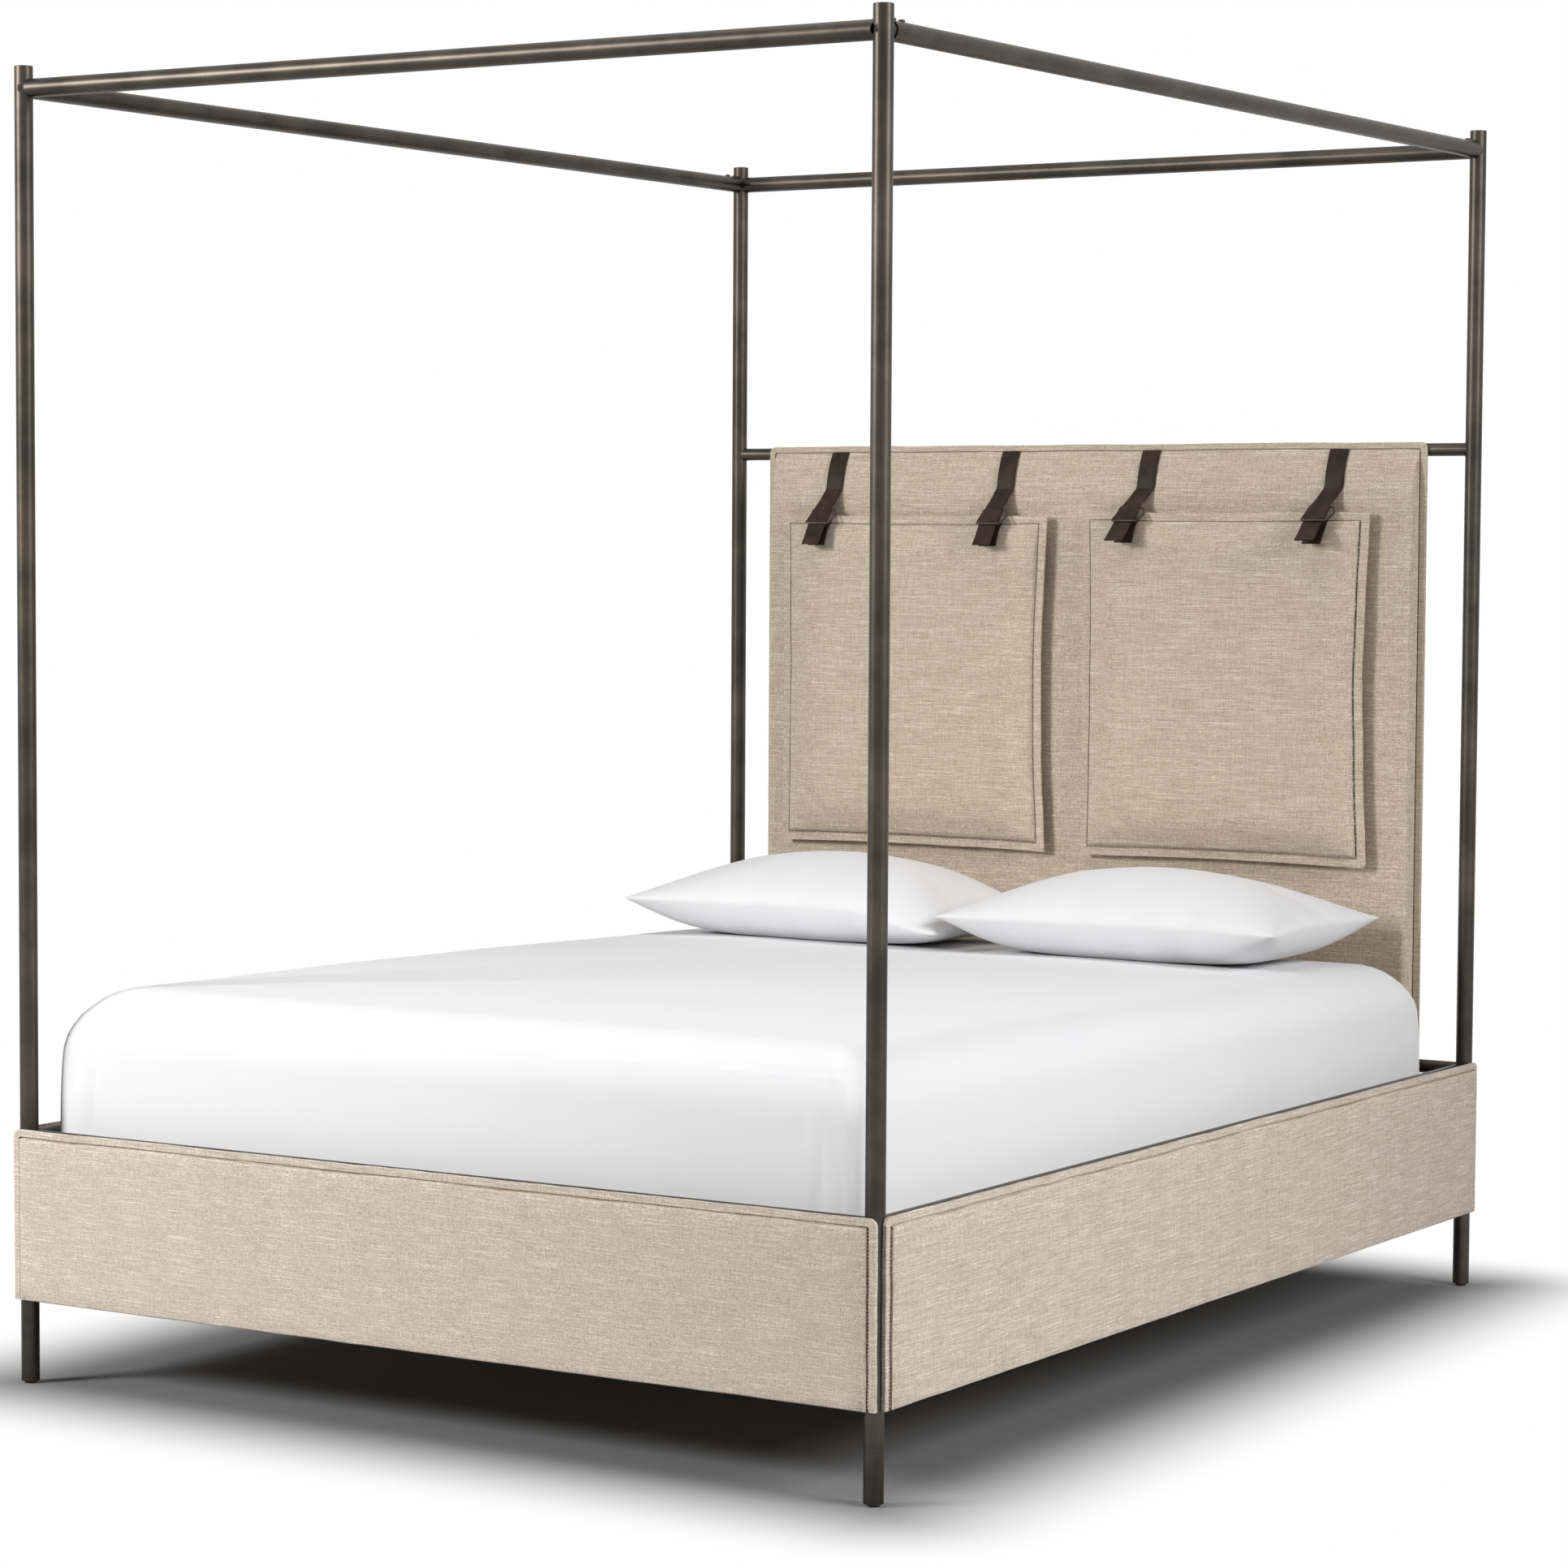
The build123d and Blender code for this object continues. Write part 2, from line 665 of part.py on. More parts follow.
def strap_free(side, place):
    """The free strap: down the headboard, off at the crease, through its keeper and out as a tail."""
    drops = (patch_bottom_drop + patch_joint_gap, strap_bend_drop, crease_drop)
    points = [seam_down(drop) for drop in drops]
    lower_points = (keeper_top[side], keeper_bottom[side], tail_end[side][place])
    points += [below_top(point, side, place) for point in lower_points]
    keeper_x = keeper_places(side)[place]
    shift = strap_shift[side][place]
    x = keeper_x - shift
    return strap_run(points, [x, x, x + 0.1 * shift, keeper_x, keeper_x, keeper_x + 0.2 * shift],
                     strap_width, strap_thickness)


def offset_point(point, run, along, out):
    """Move a (z, depth) point along a strap's run and outwards from the cushion."""
    z = point[0] + run[2] * along - run[1] * out
    depth = point[1] - run[1] * along - run[2] * out
    return (z, depth)


def keeper(side, place):
    """Leather loop that wraps the strap."""
    x = keeper_places(side)[place]
    high = below_top(keeper_top[side], side, place)
    low = below_top(keeper_bottom[side], side, place)
    run = run_direction(high, low)
    start = offset_point(high, run, keeper_end_inset, 0.0)
    end = offset_point(low, run, -keeper_end_inset, 0.0)
    inner_thickness = strap_thickness + 2 * keeper_clearance
    inner_width = strap_width + 2 * keeper_clearance
    outer = strap_run([start, end], [x, x], inner_width + 2 * keeper_wall, inner_thickness + 2 * keeper_wall)
    past_start = offset_point(high, run, -keeper_bore_overrun, 0.0)
    past_end = offset_point(low, run, keeper_bore_overrun, 0.0)
    return outer - strap_run([past_start, past_end], [x, x], inner_width, inner_thickness)


def buckle_ring(side, place):
    """Wire ring threaded by the strap: its top bar lies behind the strap, above the keeper, its bottom bar
    in front of the tail, and its sides are bent out round the keeper."""
    x = keeper_places(side)[place] + ring_shift
    high = below_top(keeper_top[side], side, place)
    low = below_top(keeper_bottom[side], side, place)
    tail = below_top(tail_end[side][place], side, place)
    bar_offset = strap_thickness / 2 + ring_gap + ring_wire / 2
    top = offset_point(high, run_direction(high, low), -ring_past_keeper[0], -bar_offset)
    bottom = offset_point(low, run_direction(low, tail), ring_past_keeper[1], bar_offset)
    elbow = (below_top(ring_elbow, side, place)[0], top[1] + ring_elbow[1])
    rows = list(zip((top, elbow, bottom), ring_half_widths))
    right_side = [(x + half, post_y - point[1], point[0]) for point, half in rows]
    left_side = [(x - half, post_y - point[1], point[0]) for point, half in rows]
    path = FilletPolyline(*right_side, *reversed(left_side), radius=ring_corner, close=True)
    start = path @ 0
    profile = Plane(origin=start, z_dir=path % 0) * Circle(ring_wire / 2)
    return sweep(profile, path=path)


def cushion_body(side):
    """Knife-edged pad: a flat flange round a filled body."""
    left = cushion_left_edge[side]
    right = left + cushion_width
    high = cushion_top_z[side]
    low = high - cushion_height[side]
    front = post_y - cushion_back - cushion_thickness
    back = post_y - cushion_back
    inset = cushion_flange_width
    body = block((left + inset, right - inset), (front, back), (low + inset, high - inset))
    body = chamfer(body.edges().filter_by(Axis.Y, reverse=True), cushion_edge_chamfer)
    plane_y = post_y - cushion_plane
    flange = block((left, right), (plane_y - cushion_flange_thickness, plane_y), (low, high))
    return body + fillet(flange.edges().filter_by(Axis.Y), cushion_corner_round)


def cushion_tab(side, place):
    """Leather tab sewn to the cushion below the buckle; its end stands off the cushion's face."""
    x = keeper_places(side)[place]
    points = (tab_leather_top, tab_leather_bend, tab_leather_end[side][place])
    run = [(cushion_top_z[side] + height, depth) for height, depth in points]
    return strap_run(run, [x, x, x], strap_width, strap_thickness)


anchors = []
for side, side_name in enumerate(("left", "right")):
    tabs = []
    for place, keeper_x in enumerate(keeper_places(side)):
        number = str(2 * side + place + 1)
        anchors.append(strap_anchor(keeper_x - strap_shift[side][place]))
        tabs.append(cushion_tab(side, place))
        save("strap_" + number, strap_free(side, place))
        save("buckle_ring_" + number, buckle_ring(side, place))
        save("strap_keeper_" + number, keeper(side, place))
    save("cushion_" + side_name, cushion_body(side))
    save("cushion_tabs_" + side_name, group(tabs))
save("strap_anchors", group(anchors))


# ================================================================ bedding
mattress_base = slat_top_z + rest_gap
mattress_left = mattress_side_gaps[0] - post_x
mattress_front = mattress_foot_gap - post_y


def mattress():
    left = mattress_left
    back = mattress_front + mattress_length
    line = Polyline((left, mattress_front, mattress_base), (left, back, mattress_base),
                    (left, back, mattress_base + mattress_height_head),
                    (left, mattress_front, mattress_base + mattress_height_foot), close=True)
    body = extrude(make_face(line), amount=mattress_width, dir=(1, 0, 0))
    body = fillet(body.edges().filter_by(Axis.Z), mattress_edge_round)
    top = body.faces().sort_by(Axis.Z)[-1]
    return fillet(top.edges(), mattress_side_round)


def mattress_top(y):
    """Height of the mattress top at a place along the bed."""
    share = (y - mattress_front) / mattress_length
    return mattress_base + mattress_height_foot + share * (mattress_height_head - mattress_height_foot)


def pillow(left):
    """A filled pillow: widest at its seam, flatter where it rests."""
    front = post_y - pillow_head_gap - pillow_depth
    base = mattress_top(front) + rest_gap
    centre_x = left + pillow_length / 2
    centre_y = front + pillow_depth / 2
    sections = []
    for height, inset in pillow_levels:
        plane = Plane(origin=(centre_x, centre_y, base + height))
        length = pillow_length - 2 * inset
        depth = pillow_depth - 2 * inset
        sections.append(plane * RectangleRounded(length, depth, pillow_corner_round))
    return loft(sections, ruled=True)


save("mattress", mattress())
save("pillow_left", pillow(mattress_left + pillow_side_insets[0]))
save("pillow_right", pillow(mattress_left + mattress_width - pillow_side_insets[1] - pillow_length))
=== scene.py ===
import math

import bmesh
import bpy
from mathutils import Matrix, Vector, noise


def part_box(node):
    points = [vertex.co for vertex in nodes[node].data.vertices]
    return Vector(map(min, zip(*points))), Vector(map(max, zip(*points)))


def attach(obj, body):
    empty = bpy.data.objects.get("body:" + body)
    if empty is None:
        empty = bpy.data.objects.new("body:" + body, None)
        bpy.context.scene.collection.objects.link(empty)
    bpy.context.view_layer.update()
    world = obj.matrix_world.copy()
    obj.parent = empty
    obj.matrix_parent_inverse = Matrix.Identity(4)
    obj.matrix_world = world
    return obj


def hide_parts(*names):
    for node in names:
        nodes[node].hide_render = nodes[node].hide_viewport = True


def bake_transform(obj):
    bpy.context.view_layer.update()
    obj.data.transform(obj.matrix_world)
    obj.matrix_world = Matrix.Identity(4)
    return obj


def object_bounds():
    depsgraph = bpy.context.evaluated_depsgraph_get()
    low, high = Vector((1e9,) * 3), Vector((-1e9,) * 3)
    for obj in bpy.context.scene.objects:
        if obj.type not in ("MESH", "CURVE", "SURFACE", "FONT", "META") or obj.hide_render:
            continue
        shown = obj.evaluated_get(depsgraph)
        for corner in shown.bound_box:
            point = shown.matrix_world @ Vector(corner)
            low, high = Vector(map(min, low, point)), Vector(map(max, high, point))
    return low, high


bl_info = {
    "name": "Four Poster Canopy Bed",
    "version": (1, 0, 0),
    "blender": (4, 5, 0),
    "location": "3D View > Sidebar > Bed",
    "description": "Dresses a tubular canopy bed with upholstery, leather straps and bedding",
    "category": "Object",
}

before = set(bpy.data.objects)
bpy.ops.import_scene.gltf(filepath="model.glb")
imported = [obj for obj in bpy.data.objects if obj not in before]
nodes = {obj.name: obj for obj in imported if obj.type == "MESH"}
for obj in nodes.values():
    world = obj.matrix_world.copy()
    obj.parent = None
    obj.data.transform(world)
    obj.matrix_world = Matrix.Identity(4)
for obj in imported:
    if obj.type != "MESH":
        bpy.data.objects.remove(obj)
cad_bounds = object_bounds()


# ================================================================ places taken from the frame
def middle(node):
    low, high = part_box(node)
    return (low + high) / 2


post_foot_y = middle("post_foot_right").y
post_head_y = middle("post_head_right").y
post_x = middle("post_foot_right").x
tube_radius = (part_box("post_foot_right")[1].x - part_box("post_foot_right")[0].x) / 2
rail_z = middle("rail_foot").z
rail_radius = (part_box("rail_foot")[1].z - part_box("rail_foot")[0].z) / 2
canopy_z = middle("canopy_rail_foot").z
crossbar_z = middle("headboard_crossbar").z
crossbar_radius = (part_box("headboard_crossbar")[1].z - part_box("headboard_crossbar")[0].z) / 2

# ---------------------------------------------------------------- upholstery, in metres
flange_width = 0.0115
flange_front = 0.0215
groove_width = 0.0012
groove_depth = 0.0042
flange_corner = 0.012
panel_back = 0.0154
panel_top_drop = 0.0015
stitch_length = 0.0032
stitch_pitch = 0.0052
stitch_radius = 0.00045

headboard_seam_drop = 0.012
headboard_back = 0.0127
headboard_face = 0.046
headboard_flange_front = 0.0173
headboard_pad_start = 0.0213
headboard_groove_depth = 0.0022
shoulder = [(0.0, 0.017), (0.014, 0.025), (0.027, 0.031), (0.050, 0.0385), (0.076, 0.0435), (0.105, 0.046)]

cushion_plane = 0.067
cushion_flange_thickness = 0.004
cushion_flange_width = 0.0165
cushion_thickness = 0.046
cushion_back = 0.0465

strap_width = 0.038
strap_thickness = 0.0024
strap_lift = 0.0009
# Heights are from the cushion's top edge, depths from the head posts' line.
keeper_runs = {"left": ((0.008, 0.079), (-0.018, 0.099)), "right": ((0.008, 0.075), (-0.018, 0.102))}
tail_ends = {1: (-0.060, 0.124), 2: (-0.060, 0.126), 3: (-0.055, 0.139), 4: (-0.055, 0.138)}
strap_slacks = {1: 0.0, 2: 0.0, 3: 0.003, 4: 0.001}
tab_ends = {1: (-0.062, 0.103), 2: (-0.062, 0.103), 3: (-0.062, 0.103), 4: (-0.062, 0.111)}
crease_drop = 0.076

# ---------------------------------------------------------------- bedding
mattress_corner_round = 0.10
mattress_top_round = 0.098
mattress_fullness = 9.0
mattress_top_softening = 5.5
mattress_grid = 0.022
mattress_head_drop = 0.040
mattress_edge_drop = 0.004
pillow_grid = 0.010
pillow_evenness = 0.80

# ---------------------------------------------------------------- air pressure and number of frames
cushion_pressure = 3.0
cushion_frames = 20
cushion_give = 0.005
pillow_pressure = 9.0
pillow_frames = 26
pillow_give = 0.2

# The headboard's and cushions' linen is painted slightly darker and warmer than the panels': painted shade
# for the weaker light at the head end.
headboard_shade_tint = (0.96, 0.92, 0.865)

# ---------------------------------------------------------------- stage
# Where the floor's painted shadow pool fades into white glow, in metres outside the bed's outline (negative
# inside it).
pool_fade_inner = -0.08
pool_fade_outer = 0.31
camera_place = (3.8305, -6.2443, 1.3892)
camera_heading = 32.39
camera_pitch = -3.547
camera_roll = 0.272
camera_shift = (0.0346, 0.0081)


# ================================================================ small modelling helpers
def deselect_all():
    bpy.ops.object.select_all(action="DESELECT")


def activate(piece):
    deselect_all()
    piece.select_set(True)
    bpy.context.view_layer.objects.active = piece


def apply_place(piece):
    activate(piece)
    bpy.ops.object.transform_apply(location=True, rotation=True, scale=True)


def add_block(name, low, high):
    """A box between two corners, with its place in its mesh."""
    low = Vector(low)
    high = Vector(high)
    deselect_all()
    bpy.ops.mesh.primitive_cube_add(size=1.0, location=(low + high) / 2)
    piece = bpy.context.object
    piece.name = name
    piece.scale = high - low
    apply_place(piece)
    return piece


def add_rod(name, radius, start, end, sides=32):
    """A round bar between two points, with its place in its mesh."""
    start = Vector(start)
    end = Vector(end)
    turn = (end - start).to_track_quat("Z", "Y").to_euler()
    deselect_all()
    bpy.ops.mesh.primitive_cylinder_add(vertices=sides, radius=radius, depth=(end - start).length,
                                        location=(start + end) / 2, rotation=turn)
    piece = bpy.context.object
    piece.name = name
    apply_place(piece)
    return piece


class Editing:
    """Edit mode on one piece, with everything deselected and the mesh at hand."""

    def __init__(self, piece):
        self.piece = piece

    def __enter__(self):
        activate(self.piece)
        bpy.ops.object.mode_set(mode="EDIT")
        bpy.ops.mesh.select_all(action="DESELECT")
        self.mesh = bmesh.from_edit_mesh(self.piece.data)
        return self

    def pick(self, kind, test):
        """Select the vertices, edges or faces that pass a test."""
        modes = {"verts": "VERT", "edges": "EDGE", "faces": "FACE"}
        bpy.ops.mesh.select_mode(type=modes[kind])
        bpy.ops.mesh.select_all(action="DESELECT")
        self.mesh = bmesh.from_edit_mesh(self.piece.data)
        for element in getattr(self.mesh, kind):
            if test(element):
                element.select_set(True)
        self.mesh.select_flush_mode()
        bmesh.update_edit_mesh(self.piece.data)

    def __exit__(self, *problem):
        bpy.ops.object.mode_set(mode="OBJECT")


def cut_grid(piece, axis, low, high, step):
    """Cut a piece by evenly spaced planes across one axis."""
    count = max(2, round((high - low) / step))
    normal = [0.0, 0.0, 0.0]
    normal[axis] = 1.0
    with Editing(piece):
        for index in range(1, count):
            place = [0.0, 0.0, 0.0]
            place[axis] = low + (high - low) * index / count
            bpy.ops.mesh.select_all(action="SELECT")
            bpy.ops.mesh.bisect(plane_co=place, plane_no=normal)


def sculpt(piece, move):
    """Move every vertex by a function of its place."""
    for vertex in piece.data.vertices:
        vertex.co = move(vertex.co.copy())
    piece.data.update()


def apply_modifier(piece, kind, **settings):
    activate(piece)
    bpy.ops.object.modifier_add(type=kind)
    modifier = piece.modifiers[-1]
    for name, value in settings.items():
        setattr(modifier, name, value)
    bpy.ops.object.modifier_apply(modifier=modifier.name)


def smooth(piece, angle=50.0):
    activate(piece)
    bpy.ops.object.shade_smooth_by_angle(angle=math.radians(angle))


def join(name, pieces):
    activate(pieces[0])
    for piece in pieces:
        piece.select_set(True)
    bpy.ops.object.join()
    whole = bpy.context.object
    whole.name = name
    whole.data.name = name
    return whole


def copy_piece(piece, name, matrix=Matrix.Identity(4)):
    """A copy with its own mesh, moved in its mesh."""
    twin = piece.copy()
    twin.data = piece.data.copy()
    twin.name = name
    twin.data.name = name
    twin.data.transform(matrix)
    bpy.context.scene.collection.objects.link(twin)
    return twin


def dress(piece, material, body, slot, *replaced):
    """Give a finished piece its material and body, and hide the parts it replaces; the slot argument is not
    used.
    """
    piece.data.materials.clear()
    piece.data.materials.append(material)
    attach(piece, body)
    if replaced:
        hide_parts(*replaced)
    return piece


def finish_solid(node, material):
    """Give a solid from the frame its one material."""
    node.data.materials.clear()
    node.data.materials.append(material)


def edge_distance(place, low, high):
    """How far a point lies inside the nearest of the four sides of an upright outline."""
    return min(place.x - low.x, high.x - place.x, place.z - low.z, high.z - place.z)


def rise(value, start, end):
    """A smooth step from 0 at start to 1 at end."""
    share = min(1.0, max(0.0, (value - start) / (end - start)))
    return share * share * (3 - 2 * share)


def ripple(place, size, seed=0.0):
    """Smooth noise between -1 and 1 whose bumps are about size metres wide."""
    return noise.noise(Vector(place) / size + Vector((seed, 0.37 * seed, -seed)))


# ================================================================ node helpers
class Tree:
    """A node tree that is being filled in."""

    def __init__(self, tree):
        self.tree = tree

    def add(self, kind, inputs=None, **settings):
        node = self.tree.nodes.new(kind)
        for name, value in settings.items():
            setattr(node, name, value)
        for name, value in (inputs or {}).items():
            self.set(node, name, value)
        return node

    def set(self, node, name, value):
        self.fill(node.inputs[name], value)

    def fill(self, socket, value):
        if isinstance(value, bpy.types.NodeSocket):
            self.tree.links.new(value, socket)
        else:
            socket.default_value = value

    def math(self, operation, first, second=None, clamp=False):
        node = self.add("ShaderNodeMath", operation=operation, use_clamp=clamp)
        self.set(node, 0, first)
        if second is not None:
            self.set(node, 1, second)
        return node.outputs[0]

    def mix(self, share, first, second, kind="MIX"):
        node = self.add("ShaderNodeMix", data_type="RGBA", blend_type=kind)
        self.set(node, "Factor", share)
        sockets = {socket.identifier: socket for socket in node.inputs}
        self.fill(sockets["A_Color"], first)
        self.fill(sockets["B_Color"], second)
        return next(socket for socket in node.outputs if socket.identifier == "Result_Color")

    def stretch(self, vector, scale):
        node = self.add("ShaderNodeVectorMath", operation="MULTIPLY")
        self.tree.links.new(vector, node.inputs[0])
        node.inputs[1].default_value = scale
        return node.outputs[0]

    def noise(self, vector, scale=1.0, detail=2.0, roughness=0.5):
        node = self.add("ShaderNodeTexNoise", inputs={"Vector": vector, "Scale": scale, "Detail": detail,
                                                      "Roughness": roughness})
        return node.outputs["Fac"]

    def band(self, value, low, high):
        """Spread the stretch from low to high over 0 to 1."""
        node = self.add("ShaderNodeMapRange", inputs={"Value": value, "From Min": low, "From Max": high})
        return node.outputs["Result"]


def node_group(name, inputs, outputs):
    """A shader node group with named sockets; returns its tree helper and end nodes."""
    group = bpy.data.node_groups.new(name, "ShaderNodeTree")
    for label, kind, value in inputs:
        socket = group.interface.new_socket(name=label, in_out="INPUT", socket_type=kind)
        if value is not None:
            socket.default_value = value
    for label, kind in outputs:
        group.interface.new_socket(name=label, in_out="OUTPUT", socket_type=kind)
    tree = Tree(group)
    return group, tree, tree.add("NodeGroupInput"), tree.add("NodeGroupOutput")


def linen_weave_group():
    """Slubby woven linen in the XZ plane, weft along X and warp along Z, with painted shade in its sewn
    grooves.
    """
    group, tree, given, result = node_group(
        "Linen Weave",
        [("Vector", "NodeSocketVector", None),
         ("Ground", "NodeSocketColor", (0.5, 0.45, 0.38, 1.0)),
         ("Light Thread", "NodeSocketColor", (0.7, 0.64, 0.55, 1.0)),
         ("Dark Thread", "NodeSocketColor", (0.3, 0.26, 0.2, 1.0)),
         ("Slub", "NodeSocketFloat", 1.0),
         ("Seam", "NodeSocketFloat", 0.0)],
        [("Color", "NodeSocketColor"), ("Height", "NodeSocketFloat")])
    place = given.outputs["Vector"]
    slub = given.outputs["Slub"]
    weft = tree.noise(tree.stretch(place, (22.0, 60.0, 980.0)), 1.0, 1.0, 0.5)
    long_weft = tree.noise(tree.stretch(place, (10.0, 40.0, 820.0)), 1.0, 0.0, 0.4)
    short_weft = tree.noise(tree.stretch(place, (90.0, 90.0, 900.0)), 1.0, 1.0, 0.5)
    warp = tree.noise(tree.stretch(place, (640.0, 60.0, 34.0)), 1.0, 1.0, 0.4)
    fine_weft = tree.noise(tree.stretch(place, (300.0, 300.0, 900.0)), 1.0, 2.0, 0.6)
    fine_warp = tree.noise(tree.stretch(place, (900.0, 300.0, 380.0)), 1.0, 2.0, 0.6)
    light = tree.math("MULTIPLY", tree.band(weft, 0.56, 0.70), 0.50)
    light = tree.math("ADD", light, tree.math("MULTIPLY", tree.band(long_weft, 0.60, 0.70), 0.58))
    light = tree.math("ADD", light, tree.math("MULTIPLY", tree.band(short_weft, 0.54, 0.68), 0.24))
    light = tree.math("ADD", light, tree.math("MULTIPLY", tree.band(warp, 0.58, 0.70), 0.30))
    light = tree.math("ADD", light, tree.math("MULTIPLY", tree.band(fine_weft, 0.50, 0.70), 0.45))
    light = tree.math("MULTIPLY", light, slub, clamp=True)
    dark = tree.math("MULTIPLY", tree.band(weft, 0.45, 0.30), 0.30)
    dark = tree.math("ADD", dark, tree.math("MULTIPLY", tree.band(short_weft, 0.46, 0.32), 0.22))
    dark = tree.math("ADD", dark, tree.math("MULTIPLY", tree.band(warp, 0.42, 0.30), 0.22))
    dark = tree.math("ADD", dark, tree.math("MULTIPLY", tree.band(fine_warp, 0.50, 0.28), 0.60))
    dark = tree.math("ADD", dark, tree.math("MULTIPLY", tree.band(fine_weft, 0.48, 0.28), 0.50))
    dark = tree.math("MULTIPLY", dark, slub, clamp=True)
    colour = tree.mix(light, given.outputs["Ground"], given.outputs["Light Thread"])
    colour = tree.mix(dark, colour, given.outputs["Dark Thread"])
    specks = tree.noise(tree.stretch(place, (300.0, 300.0, 420.0)), 1.0, 0.0, 0.5)
    speck = tree.math("MULTIPLY", tree.band(specks, 0.79, 0.83), 0.5, clamp=True)
    colour = tree.mix(speck, colour, given.outputs["Dark Thread"])
    # Painted shade in the sewn grooves: the groove mask pulls the colour towards near-black brown (0.055,
    # 0.042, 0.030), broken into dashes by the gaps noise.
    gaps = tree.noise(tree.stretch(place, (190.0, 190.0, 190.0)), 1.0, 0.0, 0.5)
    seam = tree.math("MULTIPLY", given.outputs["Seam"], tree.band(gaps, 0.16, 0.46), clamp=True)
    tree.set(result, "Color", tree.mix(seam, colour, (0.055, 0.042, 0.030, 1.0)))
    height = tree.math("ADD", fine_weft, fine_warp)
    height = tree.math("ADD", height, tree.math("MULTIPLY", weft, 0.8))
    tree.set(result, "Height", tree.math("ADD", height, tree.math("MULTIPLY", warp, 0.4)))
    return group


def worn_coat_group():
    """Dark bronze coating with soft clouds, fine grain and small worn spots near the floor."""
    group, tree, given, result = node_group(
        "Worn Bronze Coat",
        [("Vector", "NodeSocketVector", None),
         ("Coat", "NodeSocketColor", (0.06, 0.05, 0.04, 1.0)),
         ("Brown", "NodeSocketColor", (0.1, 0.08, 0.06, 1.0)),
         ("Bare Metal", "NodeSocketColor", (0.4, 0.38, 0.36, 1.0)),
         ("Wear", "NodeSocketFloat", 1.0)],
        [("Color", "NodeSocketColor"), ("Roughness", "NodeSocketFloat"), ("Height", "NodeSocketFloat")])
    place = given.outputs["Vector"]
    clouds = tree.noise(place, 9.0, 4.0, 0.6)
    grain = tree.noise(place, 900.0, 2.0, 0.6)
    chips = tree.noise(place, 230.0, 3.0, 0.7)
    split = tree.add("ShaderNodeSeparateXYZ", inputs={"Vector": place})
    near_floor = tree.band(split.outputs["Z"], 0.16, 0.01)
    worn = tree.math("MULTIPLY", tree.band(chips, 0.70, 0.76), near_floor, clamp=True)
    worn = tree.math("MULTIPLY", worn, given.outputs["Wear"], clamp=True)
    colour = tree.mix(tree.band(clouds, 0.38, 0.66), given.outputs["Coat"], given.outputs["Brown"])
    tree.set(result, "Color", tree.mix(worn, colour, given.outputs["Bare Metal"]))
    rough = tree.math("ADD", tree.math("MULTIPLY", clouds, 0.12), 0.30)
    tree.set(result, "Roughness", tree.math("ADD", rough, tree.math("MULTIPLY", grain, 0.08)))
    tree.set(result, "Height", tree.math("SUBTRACT", grain, worn))
    return group


def leather_grain_group():
    """Smooth oiled leather with a fine pebble and a few darker patches."""
    group, tree, given, result = node_group(
        "Leather Grain",
        [("Vector", "NodeSocketVector", None),
         ("Hide", "NodeSocketColor", (0.04, 0.03, 0.02, 1.0)),
         ("Rubbed", "NodeSocketColor", (0.08, 0.05, 0.03, 1.0))],
        [("Color", "NodeSocketColor"), ("Roughness", "NodeSocketFloat"), ("Height", "NodeSocketFloat")])
    place = given.outputs["Vector"]
    patches = tree.noise(place, 34.0, 3.0, 0.6)
    pebble = tree.add("ShaderNodeTexVoronoi", inputs={"Vector": place, "Scale": 900.0}, feature="F1")
    pores = tree.noise(place, 1500.0, 2.0, 0.5)
    tree.set(result, "Color", tree.mix(tree.band(patches, 0.40, 0.72), given.outputs["Hide"],
                                       given.outputs["Rubbed"]))
    tree.set(result, "Roughness", tree.math("ADD", tree.math("MULTIPLY", patches, 0.22), 0.36))
    fine = tree.math("MULTIPLY", pores, 0.4)
    tree.set(result, "Height", tree.math("ADD", pebble.outputs["Distance"], fine))
    return group


def cotton_weave_group():
    """Fine plain cotton: almost even white with a very small thread grid."""
    group, tree, given, result = node_group(
        "Cotton Weave",
        [("Vector", "NodeSocketVector", None),
         ("White", "NodeSocketColor", (0.85, 0.85, 0.86, 1.0)),
         ("Shade", "NodeSocketColor", (0.78, 0.79, 0.81, 1.0))],
        [("Color", "NodeSocketColor"), ("Height", "NodeSocketFloat")])
    place = given.outputs["Vector"]
    cloud = tree.noise(place, 7.0, 3.0, 0.55)
    weft = tree.noise(tree.stretch(place, (300.0, 300.0, 1500.0)), 1.0, 1.0, 0.5)
    warp = tree.noise(tree.stretch(place, (1500.0, 1500.0, 300.0)), 1.0, 1.0, 0.5)
    tree.set(result, "Color", tree.mix(tree.band(cloud, 0.45, 0.9), given.outputs["White"],
                                       given.outputs["Shade"]))
    tree.set(result, "Height", tree.math("ADD", weft, warp))
    return group


groups = {}


def shared_group(name):
    builders = {"linen": linen_weave_group, "coat": worn_coat_group, "leather": leather_grain_group,
                "cotton": cotton_weave_group}
    if name not in groups:
        groups[name] = builders[name]()
    return groups[name]


def new_material(name, **constants):
    """A material with its tree helper and its Principled shader, whose even values are set here."""
    material = bpy.data.materials.new(name)
    material.use_nodes = True
    tree = Tree(material.node_tree)
    shader = material.node_tree.nodes["Principled BSDF"]
    for socket, value in constants.items():
        shader.inputs[socket.replace("_", " ")].default_value = value
    return material, tree, shader


def object_place(tree, turn=(0.0, 0.0, 0.0), shift=(0.0, 0.0, 0.0)):
    """Object coordinates, turned and shifted for one piece."""
    source = tree.add("ShaderNodeTexCoord").outputs["Object"]
    mapping = tree.add("ShaderNodeMapping", inputs={"Vector": source, "Rotation": turn, "Location": shift})
    return mapping.outputs["Vector"]


